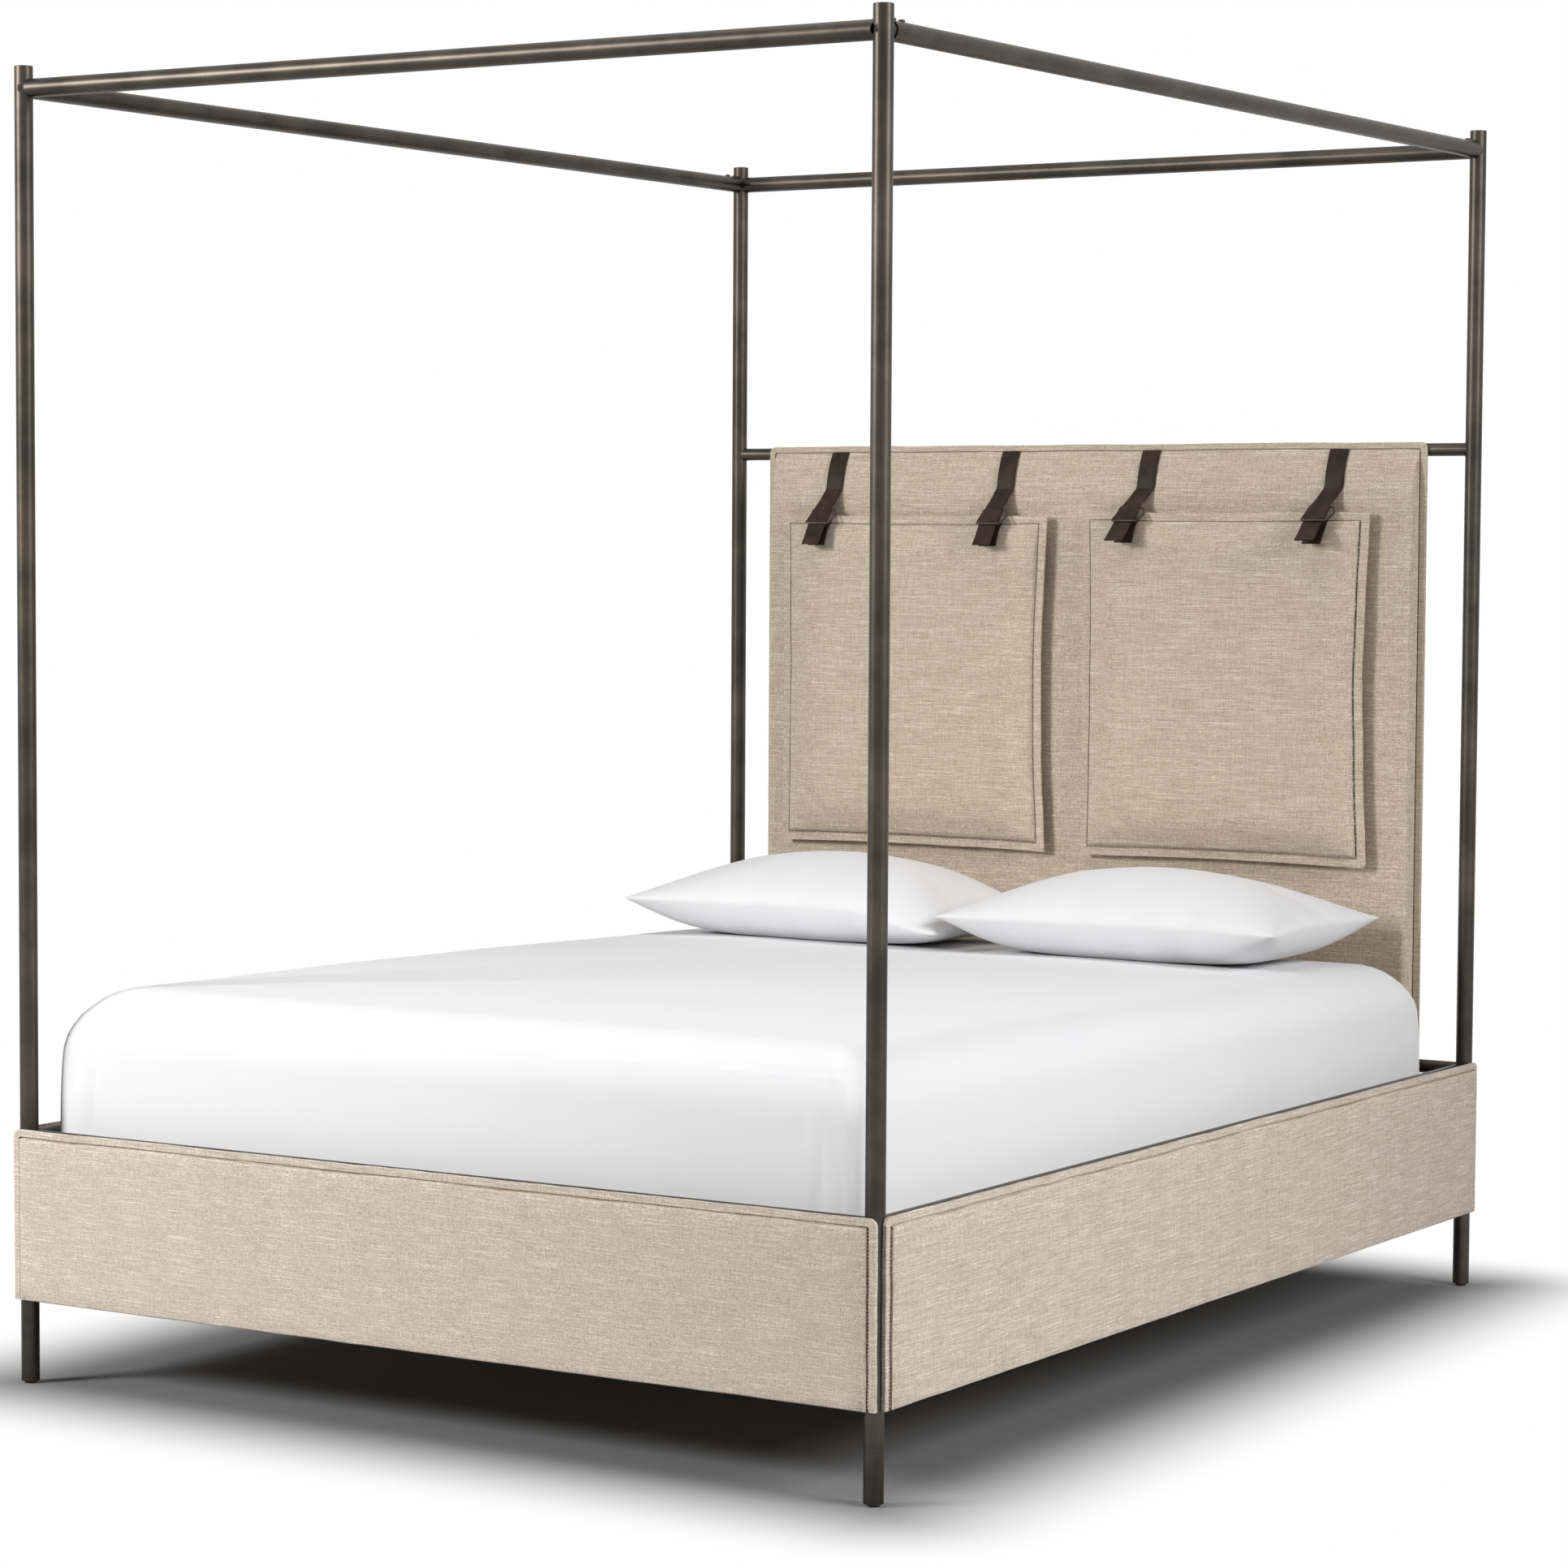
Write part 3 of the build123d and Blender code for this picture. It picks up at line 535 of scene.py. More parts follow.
def use_group(tree, name, place, **values):
    node = tree.add("ShaderNodeGroup", node_tree=shared_group(name))
    tree.set(node, "Vector", place)
    for socket, value in values.items():
        tree.set(node, socket.replace("_", " "), value)
    return node


def bumped(tree, height, strength, distance):
    node = tree.add("ShaderNodeBump", inputs={"Height": height, "Strength": strength, "Distance": distance})
    return node.outputs["Normal"]


def rgba(colour):
    return (colour[0], colour[1], colour[2], 1.0)


def linen_material(name, turn=(0.0, 0.0, 0.0), shift=(0.0, 0.0, 0.0), shade_tint=(1.0, 1.0, 1.0)):
    # The last argument darkens and warms all three colours: painted shade for pieces that get less light.
    wish = bpy.context.scene.bed_linen
    ground, light, dark = ([value * share for value, share in zip(colour, shade_tint)]
                           for colour in (wish.ground, wish.light_thread, wish.dark_thread))
    material, tree, shader = new_material(name, Roughness=0.92, Sheen_Weight=0.12, Sheen_Roughness=0.5,
                                          Specular_IOR_Level=0.25)
    # The seam attribute carries the painted shade of the sewn grooves.
    weave = use_group(tree, "linen", object_place(tree, turn, shift), Ground=rgba(ground),
                      Light_Thread=rgba(light), Dark_Thread=rgba(dark), Slub=wish.slub,
                      Seam=tree.add("ShaderNodeAttribute", attribute_name="seam").outputs["Fac"])
    tree.set(shader, "Base Color", weave.outputs["Color"])
    tree.set(shader, "Normal", bumped(tree, weave.outputs["Height"], 0.5, 0.0005))
    return material


def metal_material(name, wear=1.0):
    wish = bpy.context.scene.bed_metal
    material, tree, shader = new_material(name, Metallic=1.0)
    coat = use_group(tree, "coat", object_place(tree), Coat=rgba(wish.coat), Brown=rgba(wish.brown),
                     Bare_Metal=rgba(wish.bare), Wear=wear)
    tree.set(shader, "Base Color", coat.outputs["Color"])
    tree.set(shader, "Roughness", coat.outputs["Roughness"])
    tree.set(shader, "Normal", bumped(tree, coat.outputs["Height"], 0.12, 0.0002))
    return material


def leather_material(name):
    wish = bpy.context.scene.bed_leather
    material, tree, shader = new_material(name, Specular_IOR_Level=0.10)
    grain = use_group(tree, "leather", object_place(tree), Hide=rgba(wish.hide), Rubbed=rgba(wish.rubbed))
    tree.set(shader, "Base Color", grain.outputs["Color"])
    tree.set(shader, "Roughness", grain.outputs["Roughness"])
    tree.set(shader, "Normal", bumped(tree, grain.outputs["Height"], 0.25, 0.0002))
    return material


def cotton_material(name):
    wish = bpy.context.scene.bed_bedding
    material, tree, shader = new_material(name, Roughness=0.85, Sheen_Weight=0.08, Specular_IOR_Level=0.3)
    weave = use_group(tree, "cotton", object_place(tree), White=rgba(wish.white), Shade=rgba(wish.shade))
    tree.set(shader, "Base Color", weave.outputs["Color"])
    tree.set(shader, "Normal", bumped(tree, weave.outputs["Height"], 0.15, 0.0002))
    return material


def plain_material(name, colour, roughness, grain_scale, grain_depth, stretch=(1.0, 1.0, 1.0)):
    """A material with one colour, broken up by a grain that also gives its bump."""
    material, tree, shader = new_material(name, Specular_IOR_Level=0.35)
    place = tree.stretch(object_place(tree), stretch)
    grain = tree.noise(place, grain_scale, 4.0, 0.6)
    darker = (colour[0] * 0.62, colour[1] * 0.6, colour[2] * 0.56, 1.0)
    tree.set(shader, "Base Color", tree.mix(tree.band(grain, 0.35, 0.75), rgba(colour), darker))
    rough = tree.math("ADD", tree.math("MULTIPLY", grain, 0.15), roughness - 0.07)
    tree.set(shader, "Roughness", rough)
    tree.set(shader, "Normal", bumped(tree, grain, 0.3, grain_depth))
    return material


# ================================================================ stitches
def add_stitches(name, runs, radius=stitch_radius, length=stitch_length, pitch=stitch_pitch):
    """Thread dashes along straight runs, each run given as (start, end, outward direction)."""
    deselect_all()
    bpy.ops.mesh.primitive_cylinder_add(vertices=6, radius=radius, depth=length, end_fill_type="TRIFAN")
    one = bpy.context.object
    with Editing(one) as edit:
        edit.pick("verts", lambda v: abs(v.co.z) > 0.4 * length and v.co.xy.length < 0.1 * radius)
        bpy.ops.transform.resize(value=(1.0, 1.0, 1.0 + 0.5 * radius / length))
    template = one.data
    whole = bmesh.new()
    for start, end, outward in runs:
        start = Vector(start)
        end = Vector(end)
        along = (end - start).normalized()
        count = max(1, int((end - start).length / pitch))
        turn = along.to_track_quat("Z", "Y").to_matrix().to_4x4()
        for index in range(count):
            place = start + along * pitch * (index + 0.5) + Vector(outward) * 0.3 * radius
            before = len(whole.verts)
            whole.from_mesh(template)
            whole.verts.ensure_lookup_table()
            fresh = whole.verts[before:]
            bmesh.ops.transform(whole, matrix=Matrix.Translation(place) @ turn, verts=fresh)
    mesh = bpy.data.meshes.new(name)
    whole.to_mesh(mesh)
    whole.free()
    bpy.data.objects.remove(one)
    piece = bpy.data.objects.new(name, mesh)
    bpy.context.scene.collection.objects.link(piece)
    smooth(piece)
    return piece


# ================================================================ welted upholstery
def body_rings(inset, front, flange, rounding, groove=groove_depth):
    """Inset and depth steps from the flange, down into the groove, up a steep wall and over a soft crown."""
    crown = ((0.0035, 0.0008), (0.0055, 0.0007), (0.0080, 0.0005), (0.0110, 0.0003))
    steps = [(0.0006, 0.0), (inset - 0.0012, 0.0003), (0.0006, -0.0006),
             (groove_width * 0.5, -groove), (groove_width * 0.5, 0.0)]
    climb = front - (flange - groove) - sum(step[1] for step in crown)
    for turn in range(1, 6):
        angle = math.radians(18.0 * turn)
        before = math.radians(18.0 * (turn - 1))
        out = rounding * (math.cos(before) - math.cos(angle))
        up = climb * (math.sin(angle) - math.sin(before))
        steps.append((max(out, 0.0002), up))
    return steps + list(crown)


def paint_seam_shade(piece, depth_of):
    """Store, from 0 to 1, how much painted groove shade each point gets, for the weave's colour."""
    layer = piece.data.attributes.new("seam", "FLOAT", "POINT")
    for vertex, value in zip(piece.data.vertices, layer.data):
        value.value = depth_of(vertex.co)


def welted_block(name, low, high, steps, sides=(-1,)):
    """A block whose face or faces across Y are drawn up in insets."""
    piece = add_block(name, low, high)
    with Editing(piece) as edit:
        for side in sides:
            edit.pick("faces", lambda face: face.normal.y * side > 0.9)
            for inset, depth in steps:
                bpy.ops.mesh.inset(thickness=inset, depth=depth)
    return piece


def corner_cuts(piece, axis, place, way):
    """Close cuts next to an edge, so that its corners can be rounded."""
    with Editing(piece):
        for index in range(1, 8):
            spot = [0.0, 0.0, 0.0]
            spot[axis] = place + way * flange_corner * index / 6
            normal = [0.0, 0.0, 0.0]
            normal[axis] = 1.0
            bpy.ops.mesh.select_all(action="SELECT")
            bpy.ops.mesh.bisect(plane_co=spot, plane_no=normal)


def rounded(place, low, high, outer, inner, lower_too=False):
    """Move a point of a square welt so that its rings turn the corners in arcs."""
    left = place.x - low.x < high.x - place.x
    side = place.x - low.x if left else high.x - place.x
    upper = not lower_too or high.z - place.z < place.z - low.z
    down = high.z - place.z if upper else place.z - low.z
    ring = min(side, down)
    far = max(side, down)
    radius = max(outer - ring, inner) * (1.0 - rise(ring, 0.018, 0.035))
    if ring < 0.0 or radius < 1e-5 or far - ring > radius:
        return place
    angle = math.radians(45.0 + 45.0 * (far - ring) / radius)
    long_way = ring + radius - radius * math.cos(angle)
    short_way = ring + radius - radius * math.sin(angle)
    new_side, new_down = (long_way, short_way) if side > down else (short_way, long_way)
    place.x = low.x + new_side if left else high.x - new_side
    place.z = high.z - new_down if upper else low.z + new_down
    return place


def open_bottom(piece, bottom, reach):
    """Draw the welt's lower run down to the hem, so that only the top and the ends keep a flange."""

    def move(place):
        height = place.z - bottom
        if height < reach:
            place.z = bottom + height * 0.08
        return place

    sculpt(piece, move)


def add_welted_panel(name, half_length, low_z, high_z, front, seed):
    """A slip covered panel that faces -Y, standing at the post line, and its thread."""
    steps = body_rings(flange_width, front, flange_front, 0.0015)
    low = Vector((-half_length, -flange_front, low_z))
    high = Vector((half_length, -panel_back, high_z))
    piece = welted_block(name, low, high, steps)
    open_bottom(piece, low_z, sum(step[0] for step in steps) + 0.0005)
    cut_grid(piece, 0, -half_length, half_length, 0.016)
    cut_grid(piece, 2, low_z, high_z, 0.02)
    corner_cuts(piece, 0, -half_length, 1.0)
    corner_cuts(piece, 0, half_length, -1.0)
    corner_cuts(piece, 2, high_z, -1.0)
    thread = panel_stitches(name + "_thread", half_length, low_z, high_z)

    # Painted shade for the grooves: full in the upright end grooves, 0.35 along the top groove, none
    # elsewhere.
    def sewn(place):
        end = half_length - abs(place.x)
        below = high_z - place.z
        if place.y > -panel_back - 0.001:
            return 0.0
        groove = flange_width + groove_width / 2
        at_end = 1.0 if abs(end - groove) < groove_width * 0.75 + 0.0003 and below > flange_width else 0.0
        at_top = 0.35 if abs(below - groove) < groove_width * 0.6 and end > flange_width else 0.0
        return max(at_end, at_top)

    paint_seam_shade(piece, sewn)

    def settle(place):
        end = half_length - abs(place.x)
        below = high_z - place.z
        edge = min(end, below)
        place = rounded(place, low, high, flange_corner, 0.003)
        loose = ripple((place.x, 0.0, place.z), 0.16, seed) * 0.0007
        pucker = ripple((place.x, place.z, 0.0), 0.022, seed + 5.0) * 0.0005
        near_seam = 1.0 - rise(edge, flange_width, flange_width + 0.03)
        if place.y < -panel_back - 0.002:
            place.y -= (loose + pucker * near_seam) * rise(edge, flange_width * 0.8, flange_width * 1.3)
        wave = ripple((place.x, 3.0, place.z), 0.11, seed + 9.0)
        fine_wave = ripple((place.x, 7.0, place.z), 0.035, seed + 2.0)
        place.y += (1.0 - rise(edge, flange_width * 0.6, flange_width * 1.6)) * 0.0007 * fine_wave
        place.z += (0.0012 * wave + 0.0004 * fine_wave) * (1.0 - rise(below, 0.0, 0.06))
        outward = math.copysign(1.0, place.x)
        if abs(below - flange_width - 0.0006) < 0.0007 and place.y > 0.0015 - flange_front:
            place.y -= 0.0024 * rise(end, flange_width, flange_width + 0.02)
        if end < 0.05:
            place.x -= outward * 0.0010 * rise(end, 0.0118, 0.0127) * (1.0 - rise(end, 0.0127, 0.045))
        place.x += outward * (0.0010 * wave + 0.0004 * fine_wave - 0.0006) * (1.0 - rise(end, 0.0, 0.05))
        if place.z < low_z + 0.004:
            place.z += 0.0012 * abs(ripple((place.x, 11.0, 0.0), 0.13, seed))
        return place

    sculpt(piece, settle)
    sculpt(thread, settle)
    smooth(piece, 60.0)
    return piece, thread


def panel_stitches(name, half_length, low_z, high_z):
    """Thread along the flange, just outside its groove."""
    inset = flange_width - 0.0010
    depth = -flange_front - 0.0002
    top = high_z - inset
    end = half_length - flange_width - 0.0004
    outward = (0.0, -1.0, 0.0)
    runs = [((-end, depth, top), (end, depth, top), outward),
            ((-end, depth, low_z + 0.004), (-end, depth, top), outward),
            ((end, depth, low_z + 0.004), (end, depth, top), outward)]
    return add_stitches(name, runs)


# ================================================================ cloth
def inflate(piece, pressure, held, frames, limit, shrink=0.0, bending=0.5, tension=15.0):
    """Fill a closed cloth piece with air pressure, hold the named points, and keep the result."""
    rest = [vertex.co.copy() for vertex in piece.data.vertices]
    activate(piece)
    pins = piece.vertex_groups.new(name="held")
    pins.add([vertex.index for vertex in piece.data.vertices if held(vertex.co)], 1.0, "REPLACE")
    bpy.ops.object.modifier_add(type="CLOTH")
    cloth = piece.modifiers[-1]
    cloth.settings.quality = 6
    cloth.settings.use_pressure = True
    cloth.settings.uniform_pressure_force = pressure
    cloth.settings.vertex_group_mass = "held"
    cloth.settings.shrink_min = shrink
    cloth.settings.bending_stiffness = bending
    cloth.settings.tension_stiffness = tension
    cloth.settings.compression_stiffness = tension
    cloth.settings.effector_weights.gravity = 0.0
    cloth.collision_settings.use_collision = False
    cloth.point_cache.frame_start = 1
    cloth.point_cache.frame_end = frames
    for step in range(1, frames + 1):
        bpy.context.scene.frame_set(step)
    bpy.ops.object.modifier_apply(modifier=cloth.name)
    bpy.context.scene.frame_set(1)
    for vertex, start in zip(piece.data.vertices, rest):
        move = vertex.co - start
        if move.length > limit:
            vertex.co = start + move * (limit / move.length)
    piece.vertex_groups.clear()


# ================================================================ settings
class BedLinenSettings(bpy.types.PropertyGroup):
    ground: bpy.props.FloatVectorProperty(name="Ground", description="Main colour of the linen", size=3,
                                          subtype="COLOR", min=0.0, max=1.0, default=(0.575, 0.490, 0.400))
    light_thread: bpy.props.FloatVectorProperty(name="Light thread", description="Colour of the pale slubs",
                                                size=3, subtype="COLOR", min=0.0, max=1.0,
                                                default=(0.86, 0.785, 0.685))
    dark_thread: bpy.props.FloatVectorProperty(name="Dark thread", description="Colour of the dark threads",
                                               size=3, subtype="COLOR", min=0.0, max=1.0,
                                               default=(0.32, 0.253, 0.190))
    slub: bpy.props.FloatProperty(name="Slub", description="How strongly the uneven threads show",
                                  default=1.0, min=0.0, max=2.0, subtype="FACTOR")


class BedMetalSettings(bpy.types.PropertyGroup):
    coat: bpy.props.FloatVectorProperty(name="Coat", description="Main colour of the coated tube", size=3,
                                        subtype="COLOR", min=0.0, max=1.0, default=(0.046, 0.0395, 0.033))
    brown: bpy.props.FloatVectorProperty(name="Brown", description="Warmer clouds in the coating", size=3,
                                         subtype="COLOR", min=0.0, max=1.0, default=(0.078, 0.065, 0.052))
    bare: bpy.props.FloatVectorProperty(name="Bare metal", description="Colour of the worn spots", size=3,
                                        subtype="COLOR", min=0.0, max=1.0, default=(0.62, 0.60, 0.57))


class BedLeatherSettings(bpy.types.PropertyGroup):
    hide: bpy.props.FloatVectorProperty(name="Hide", description="Main colour of the leather", size=3,
                                        subtype="COLOR", min=0.0, max=1.0, default=(0.023, 0.0140, 0.0090))
    rubbed: bpy.props.FloatVectorProperty(name="Rubbed", description="Lighter, handled places", size=3,
                                          subtype="COLOR", min=0.0, max=1.0, default=(0.047, 0.028, 0.018))


class BedBeddingSettings(bpy.types.PropertyGroup):
    white: bpy.props.FloatVectorProperty(name="White", description="Colour of the sheet and pillows", size=3,
                                         subtype="COLOR", min=0.0, max=1.0, default=(0.775, 0.775, 0.785))
    shade: bpy.props.FloatVectorProperty(name="Shade", description="Slightly greyer places", size=3,
                                         subtype="COLOR", min=0.0, max=1.0, default=(0.75, 0.755, 0.768))


class BedStageSettings(bpy.types.PropertyGroup):
    key: bpy.props.FloatProperty(name="Key light", description="Power of the soft box at the front left",
                                 default=142.0, min=0.0, max=5000.0, subtype="POWER", unit="POWER")
    fill: bpy.props.FloatProperty(name="Fill light", description="Power of the soft box at the right",
                                  default=84.0, min=0.0, max=5000.0, subtype="POWER", unit="POWER")
    top: bpy.props.FloatProperty(name="Top light", description="Power of the soft box overhead", default=32.0,
                                 min=0.0, max=5000.0, subtype="POWER", unit="POWER")
    ambient: bpy.props.FloatProperty(name="Ambient", description="Strength of the even light all round",
                                     default=0.12, min=0.0, max=10.0)
    lens: bpy.props.FloatProperty(name="Lens", description="Focal length of the camera", default=97.13,
                                  min=20.0, max=300.0, subtype="DISTANCE_CAMERA")


# ================================================================ frame
class BED_OT_finish_metal_frame(bpy.types.Operator):
    """Give the tubes, rails and fittings their worn bronze coat"""

    bl_idname = "bed.finish_metal_frame"
    bl_label = "Finish metal frame"

    def execute(self, context):
        material = metal_material("bronze_coat")
        bright = metal_material("screw_steel", 0.0)
        bronze = ("post_", "canopy_rail", "canopy_spigots", "headboard_crossbar", "headboard_brackets",
                  "rail_", "slat_ledge", "centre_", "panel_tabs")
        for name, node in nodes.items():
            if name.endswith("screws"):
                finish_solid(node, bright)
            elif name.startswith(bronze):
                finish_solid(node, material)
        return {"FINISHED"}


class BED_OT_finish_hidden_parts(bpy.types.Operator):
    """Give the slats, boards, filling and glides their materials"""

    bl_idname = "bed.finish_hidden_parts"
    bl_label = "Finish slats, boards and glides"

    def execute(self, context):
        pine = plain_material("slat_pine", (0.60, 0.44, 0.27), 0.6, 3.0, 0.0004, (6.0, 90.0, 90.0))
        ply = plain_material("panel_plywood", (0.50, 0.37, 0.24), 0.7, 4.0, 0.0003, (10.0, 60.0, 60.0))
        foam = plain_material("foam_filling", (0.80, 0.78, 0.70), 0.9, 500.0, 0.0006)
        black = plain_material("black_nylon", (0.022, 0.022, 0.023), 0.5, 900.0, 0.0001)
        looks = {"slats": pine, "headboard_board": ply, "panel_board_foot": ply, "panel_board_left": ply,
                 "panel_board_right": ply, "headboard_padding": foam, "glide_inserts": black,
                 "levelling_glides": black}
        for name, material in looks.items():
            finish_solid(nodes[name], material)
        return {"FINISHED"}


class BED_OT_add_weld_beads(bpy.types.Operator):
    """Lay a fine weld bead where each cross tube meets its posts"""

    bl_idname = "bed.add_weld_beads"
    bl_label = "Add weld beads"

    def execute(self, context):
        ends = [(post_foot_y, canopy_z, tube_radius), (post_head_y, canopy_z, tube_radius),
                (post_head_y, crossbar_z, crossbar_radius), (post_foot_y, rail_z, rail_radius),
                (post_head_y, rail_z, rail_radius)]
        beads = []
        for y, z, radius in ends:
            for side in (-1, 1):
                beads.append(self.bead(side, y, z, radius))
        whole = join("weld_beads", beads)
        smooth(whole, 80.0)
        dress(whole, metal_material("weld_bronze", 0.0), "frame", "frame_metal")
        return {"FINISHED"}

    def bead(self, side, y, z, radius):
        """A closed bead that follows the saddle between a tube and its post."""
        deselect_all()
        bpy.ops.mesh.primitive_torus_add(major_segments=40, minor_segments=8, major_radius=radius + 0.0002,
                                         minor_radius=0.0011, rotation=(0.0, math.radians(90.0), 0.0))
        piece = bpy.context.object
        apply_place(piece)

        def saddle(place):
            reach = math.sqrt(max(0.0, tube_radius ** 2 - min(abs(place.y), tube_radius * 0.995) ** 2))
            wobble = 0.0002 * ripple((place.y, place.z, 0.0), 0.004, z)
            return Vector((side * (post_x - reach - 0.0002) + place.x + wobble, place.y + y, place.z + z))

        sculpt(piece, saddle)
        return piece


# ================================================================ panels
class BED_OT_add_side_panels(bpy.types.Operator):
    """Upholster the foot panel and the two side panels"""

    bl_idname = "bed.add_side_panels"
    bl_label = "Add upholstered panels"

    def execute(self, context):
        low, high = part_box("panel_cover_foot")
        front = post_foot_y - low.y
        foot, foot_thread = add_welted_panel("foot_panel", high.x, low.z, high.z - panel_top_drop, front, 1.0)
        to_foot = Matrix.Translation((0.0, post_foot_y, 0.0))
        foot.data.transform(to_foot)
        foot_thread.data.transform(to_foot)
        side_low, side_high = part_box("panel_cover_right")
        half = (side_high.y - side_low.y) / 2
        centre = (side_high.y + side_low.y) / 2
        right, right_thread = add_welted_panel("right_panel", half, side_low.z, side_high.z - panel_top_drop,
                                               side_high.x - post_x, 4.0)
        to_right = Matrix.Translation((post_x, centre, 0.0)) @ Matrix.Rotation(math.radians(90.0), 4, "Z")
        to_left = Matrix.Translation((-post_x, centre, 0.0)) @ Matrix.Rotation(math.radians(-90.0), 4, "Z")
        left = copy_piece(right, "left_panel", to_left)
        left_thread = copy_piece(right_thread, "left_panel_thread", to_left)
        right.data.transform(to_right)
        right_thread.data.transform(to_right)
        across = linen_material("linen_across", shift=(0.31, 0.0, 0.17))
        along = linen_material("linen_along", turn=(0.0, 0.0, math.radians(90.0)), shift=(0.07, 0.0, 0.05))
        thread = plain_material("linen_thread", (0.60, 0.53, 0.45), 0.8, 700.0, 0.0001)
        dress(foot, across, "frame", "linen", "panel_cover_foot")
        dress(right, along, "frame", "linen", "panel_cover_right")
        dress(left, along, "frame", "linen", "panel_cover_left")
        for piece in (foot_thread, right_thread, left_thread):
            dress(piece, thread, "frame", "linen")
        return {"FINISHED"}


# ================================================================ headboard
def shoulder_depth(drop):
    """How far the headboard's face stands in front of the head posts, below its top seam."""
    if drop <= 0.0:
        return shoulder[0][1]
    for (first, depth), (second, deeper) in zip(shoulder, shoulder[1:]):
        if drop <= second:
            return depth + (deeper - depth) * (drop - first) / (second - first)
    return headboard_face


class BED_OT_add_headboard(bpy.types.Operator):
    """Upholster the headboard, with its sleeve over the crossbar"""

    bl_idname = "bed.add_headboard"
    bl_label = "Add headboard"

    def execute(self, context):
        low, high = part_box("headboard_cover")
        half = high.x
        top = high.z
        steps = body_rings(flange_width, headboard_pad_start, headboard_flange_front, 0.002,
                           headboard_groove_depth)
        corner_low = Vector((-half, -headboard_flange_front, low.z))
        corner_high = Vector((half, -headboard_back, top))
        piece = welted_block("headboard", corner_low, corner_high, steps)
        open_bottom(piece, low.z, sum(step[0] for step in steps) + 0.0005)
        cut_grid(piece, 0, -half, half, 0.014)
        cut_grid(piece, 2, low.z, top, 0.014)
        corner_cuts(piece, 0, -half, 1.0)
        corner_cuts(piece, 0, half, -1.0)
        corner_cuts(piece, 2, top, -1.0)
        seam = top - headboard_seam_drop
        thread = self.thread(half, low.z, top)
        groove = flange_width + groove_width / 2

        # Painted shade for the grooves: 0.8 in the upright end grooves, 0.3 along the top groove, none
        # elsewhere.
        def sewn(place):
            end = half - abs(place.x)
            below = top - place.z
            if place.y > -headboard_back - 0.001:
                return 0.0
            at_end = 0.8 if abs(end - groove) < groove_width * 0.6 + 0.0002 and below > flange_width else 0.0
            at_top = 0.3 if abs(below - groove) < groove_width * 0.6 and end > flange_width else 0.0
            return max(at_end, at_top)

        paint_seam_shade(piece, sewn)

        def crown(place):
            side = half - flange_width - groove_width - abs(place.x)
            below = seam - place.z
            place = rounded(place, corner_low, corner_high, flange_corner, 0.003)
            end = half - abs(place.x)
            wider = 0.0011 * rise(end, 0.003, 0.0115) * (1.0 - rise(end, 0.013, 0.06))
            place.x -= math.copysign(wider, place.x)
            if place.y < -0.0175 and side > 0.0 and below > 0.0:
                deep = shoulder_depth(below)
                side_share = min(1.0, (side + 0.001) / 0.010)
                side_rise = math.sqrt(1.0 - (1.0 - side_share) ** 2)
                wanted = 0.0175 + (deep - 0.0175) * side_rise
                started = rise(below, 0.0, 0.004)
                place.y = -wanted * started + place.y * (1.0 - started)
            loose = ripple((place.x, 0.0, place.z), 0.20, 3.0) * 0.0013
            loose += ripple((place.x, 4.0, place.z), 0.07, 6.0) * 0.0005
            if side > 0.0 and below > 0.0:
                place.y -= loose * rise(min(side, below), 0.0, 0.05)
            wave = ripple((place.x, 2.0, 0.0), 0.19, 8.0) + 0.4 * ripple((place.x, 5.0, 0.0), 0.06, 1.0)
            near_top = rise(place.z, top - 0.10, top)
            place.z += 0.0016 * wave * near_top - 0.0012 * near_top
            return place

        to_head = Matrix.Translation((0.0, post_head_y, 0.0))
        for part in (piece, thread):
            sculpt(part, crown)
            part.data.transform(to_head)
        smooth(piece, 60.0)
        sleeve = self.sleeve(half - 0.0165)
        linen = linen_material("linen_headboard", shift=(0.0, 0.0, 0.41), shade_tint=headboard_shade_tint)
        dress(piece, linen, "frame", "linen", "headboard_cover", "headboard_padding")
        dress(sleeve, linen, "frame", "linen")
        dress(thread, bpy.data.materials["linen_thread"], "frame", "linen")
        return {"FINISHED"}

    def sleeve(self, half):
        """Fabric tunnel round the crossbar, open to the headboard's back."""
        radius = crossbar_radius + 0.0005
        piece = add_rod("headboard_sleeve", radius, (-half, post_head_y, crossbar_z),
                        (half, post_head_y, crossbar_z), 40)
        with Editing(piece) as edit:
            edit.pick("faces", lambda face: abs(face.normal.x) > 0.9)
            bpy.ops.mesh.delete(type="FACE")
            edit.pick("verts", lambda vertex: vertex.co.y < post_head_y - 0.8 * radius)
            bpy.ops.mesh.delete(type="VERT")
        cut_grid(piece, 0, -half, half, 0.03)

        def slack(place):
            drop = rise(crossbar_z - place.z, 0.0, radius)
            lift = 0.0009 * ripple((place.x, 1.0, place.z), 0.05, 2.0)
            away = Vector((0.0, place.y - post_head_y, place.z - crossbar_z)).normalized()
            return place + away * (0.0009 + lift) * (0.4 + 0.6 * drop)

        sculpt(piece, slack)
        apply_modifier(piece, "SOLIDIFY", thickness=0.0012, offset=1.0)
        smooth(piece)
        return piece

    def thread(self, half, low, top):
        inset = flange_width - 0.0010
        depth = -headboard_flange_front - 0.0002
        line = top - inset
        end = half - inset
        outward = (0.0, -1.0, 0.0)
        runs = [((-end, depth, line), (end, depth, line), outward),
                ((-end, depth, low + 0.3), (-end, depth, line), outward),
                ((end, depth, low + 0.3), (end, depth, line), outward)]
        return add_stitches("headboard_thread", runs)


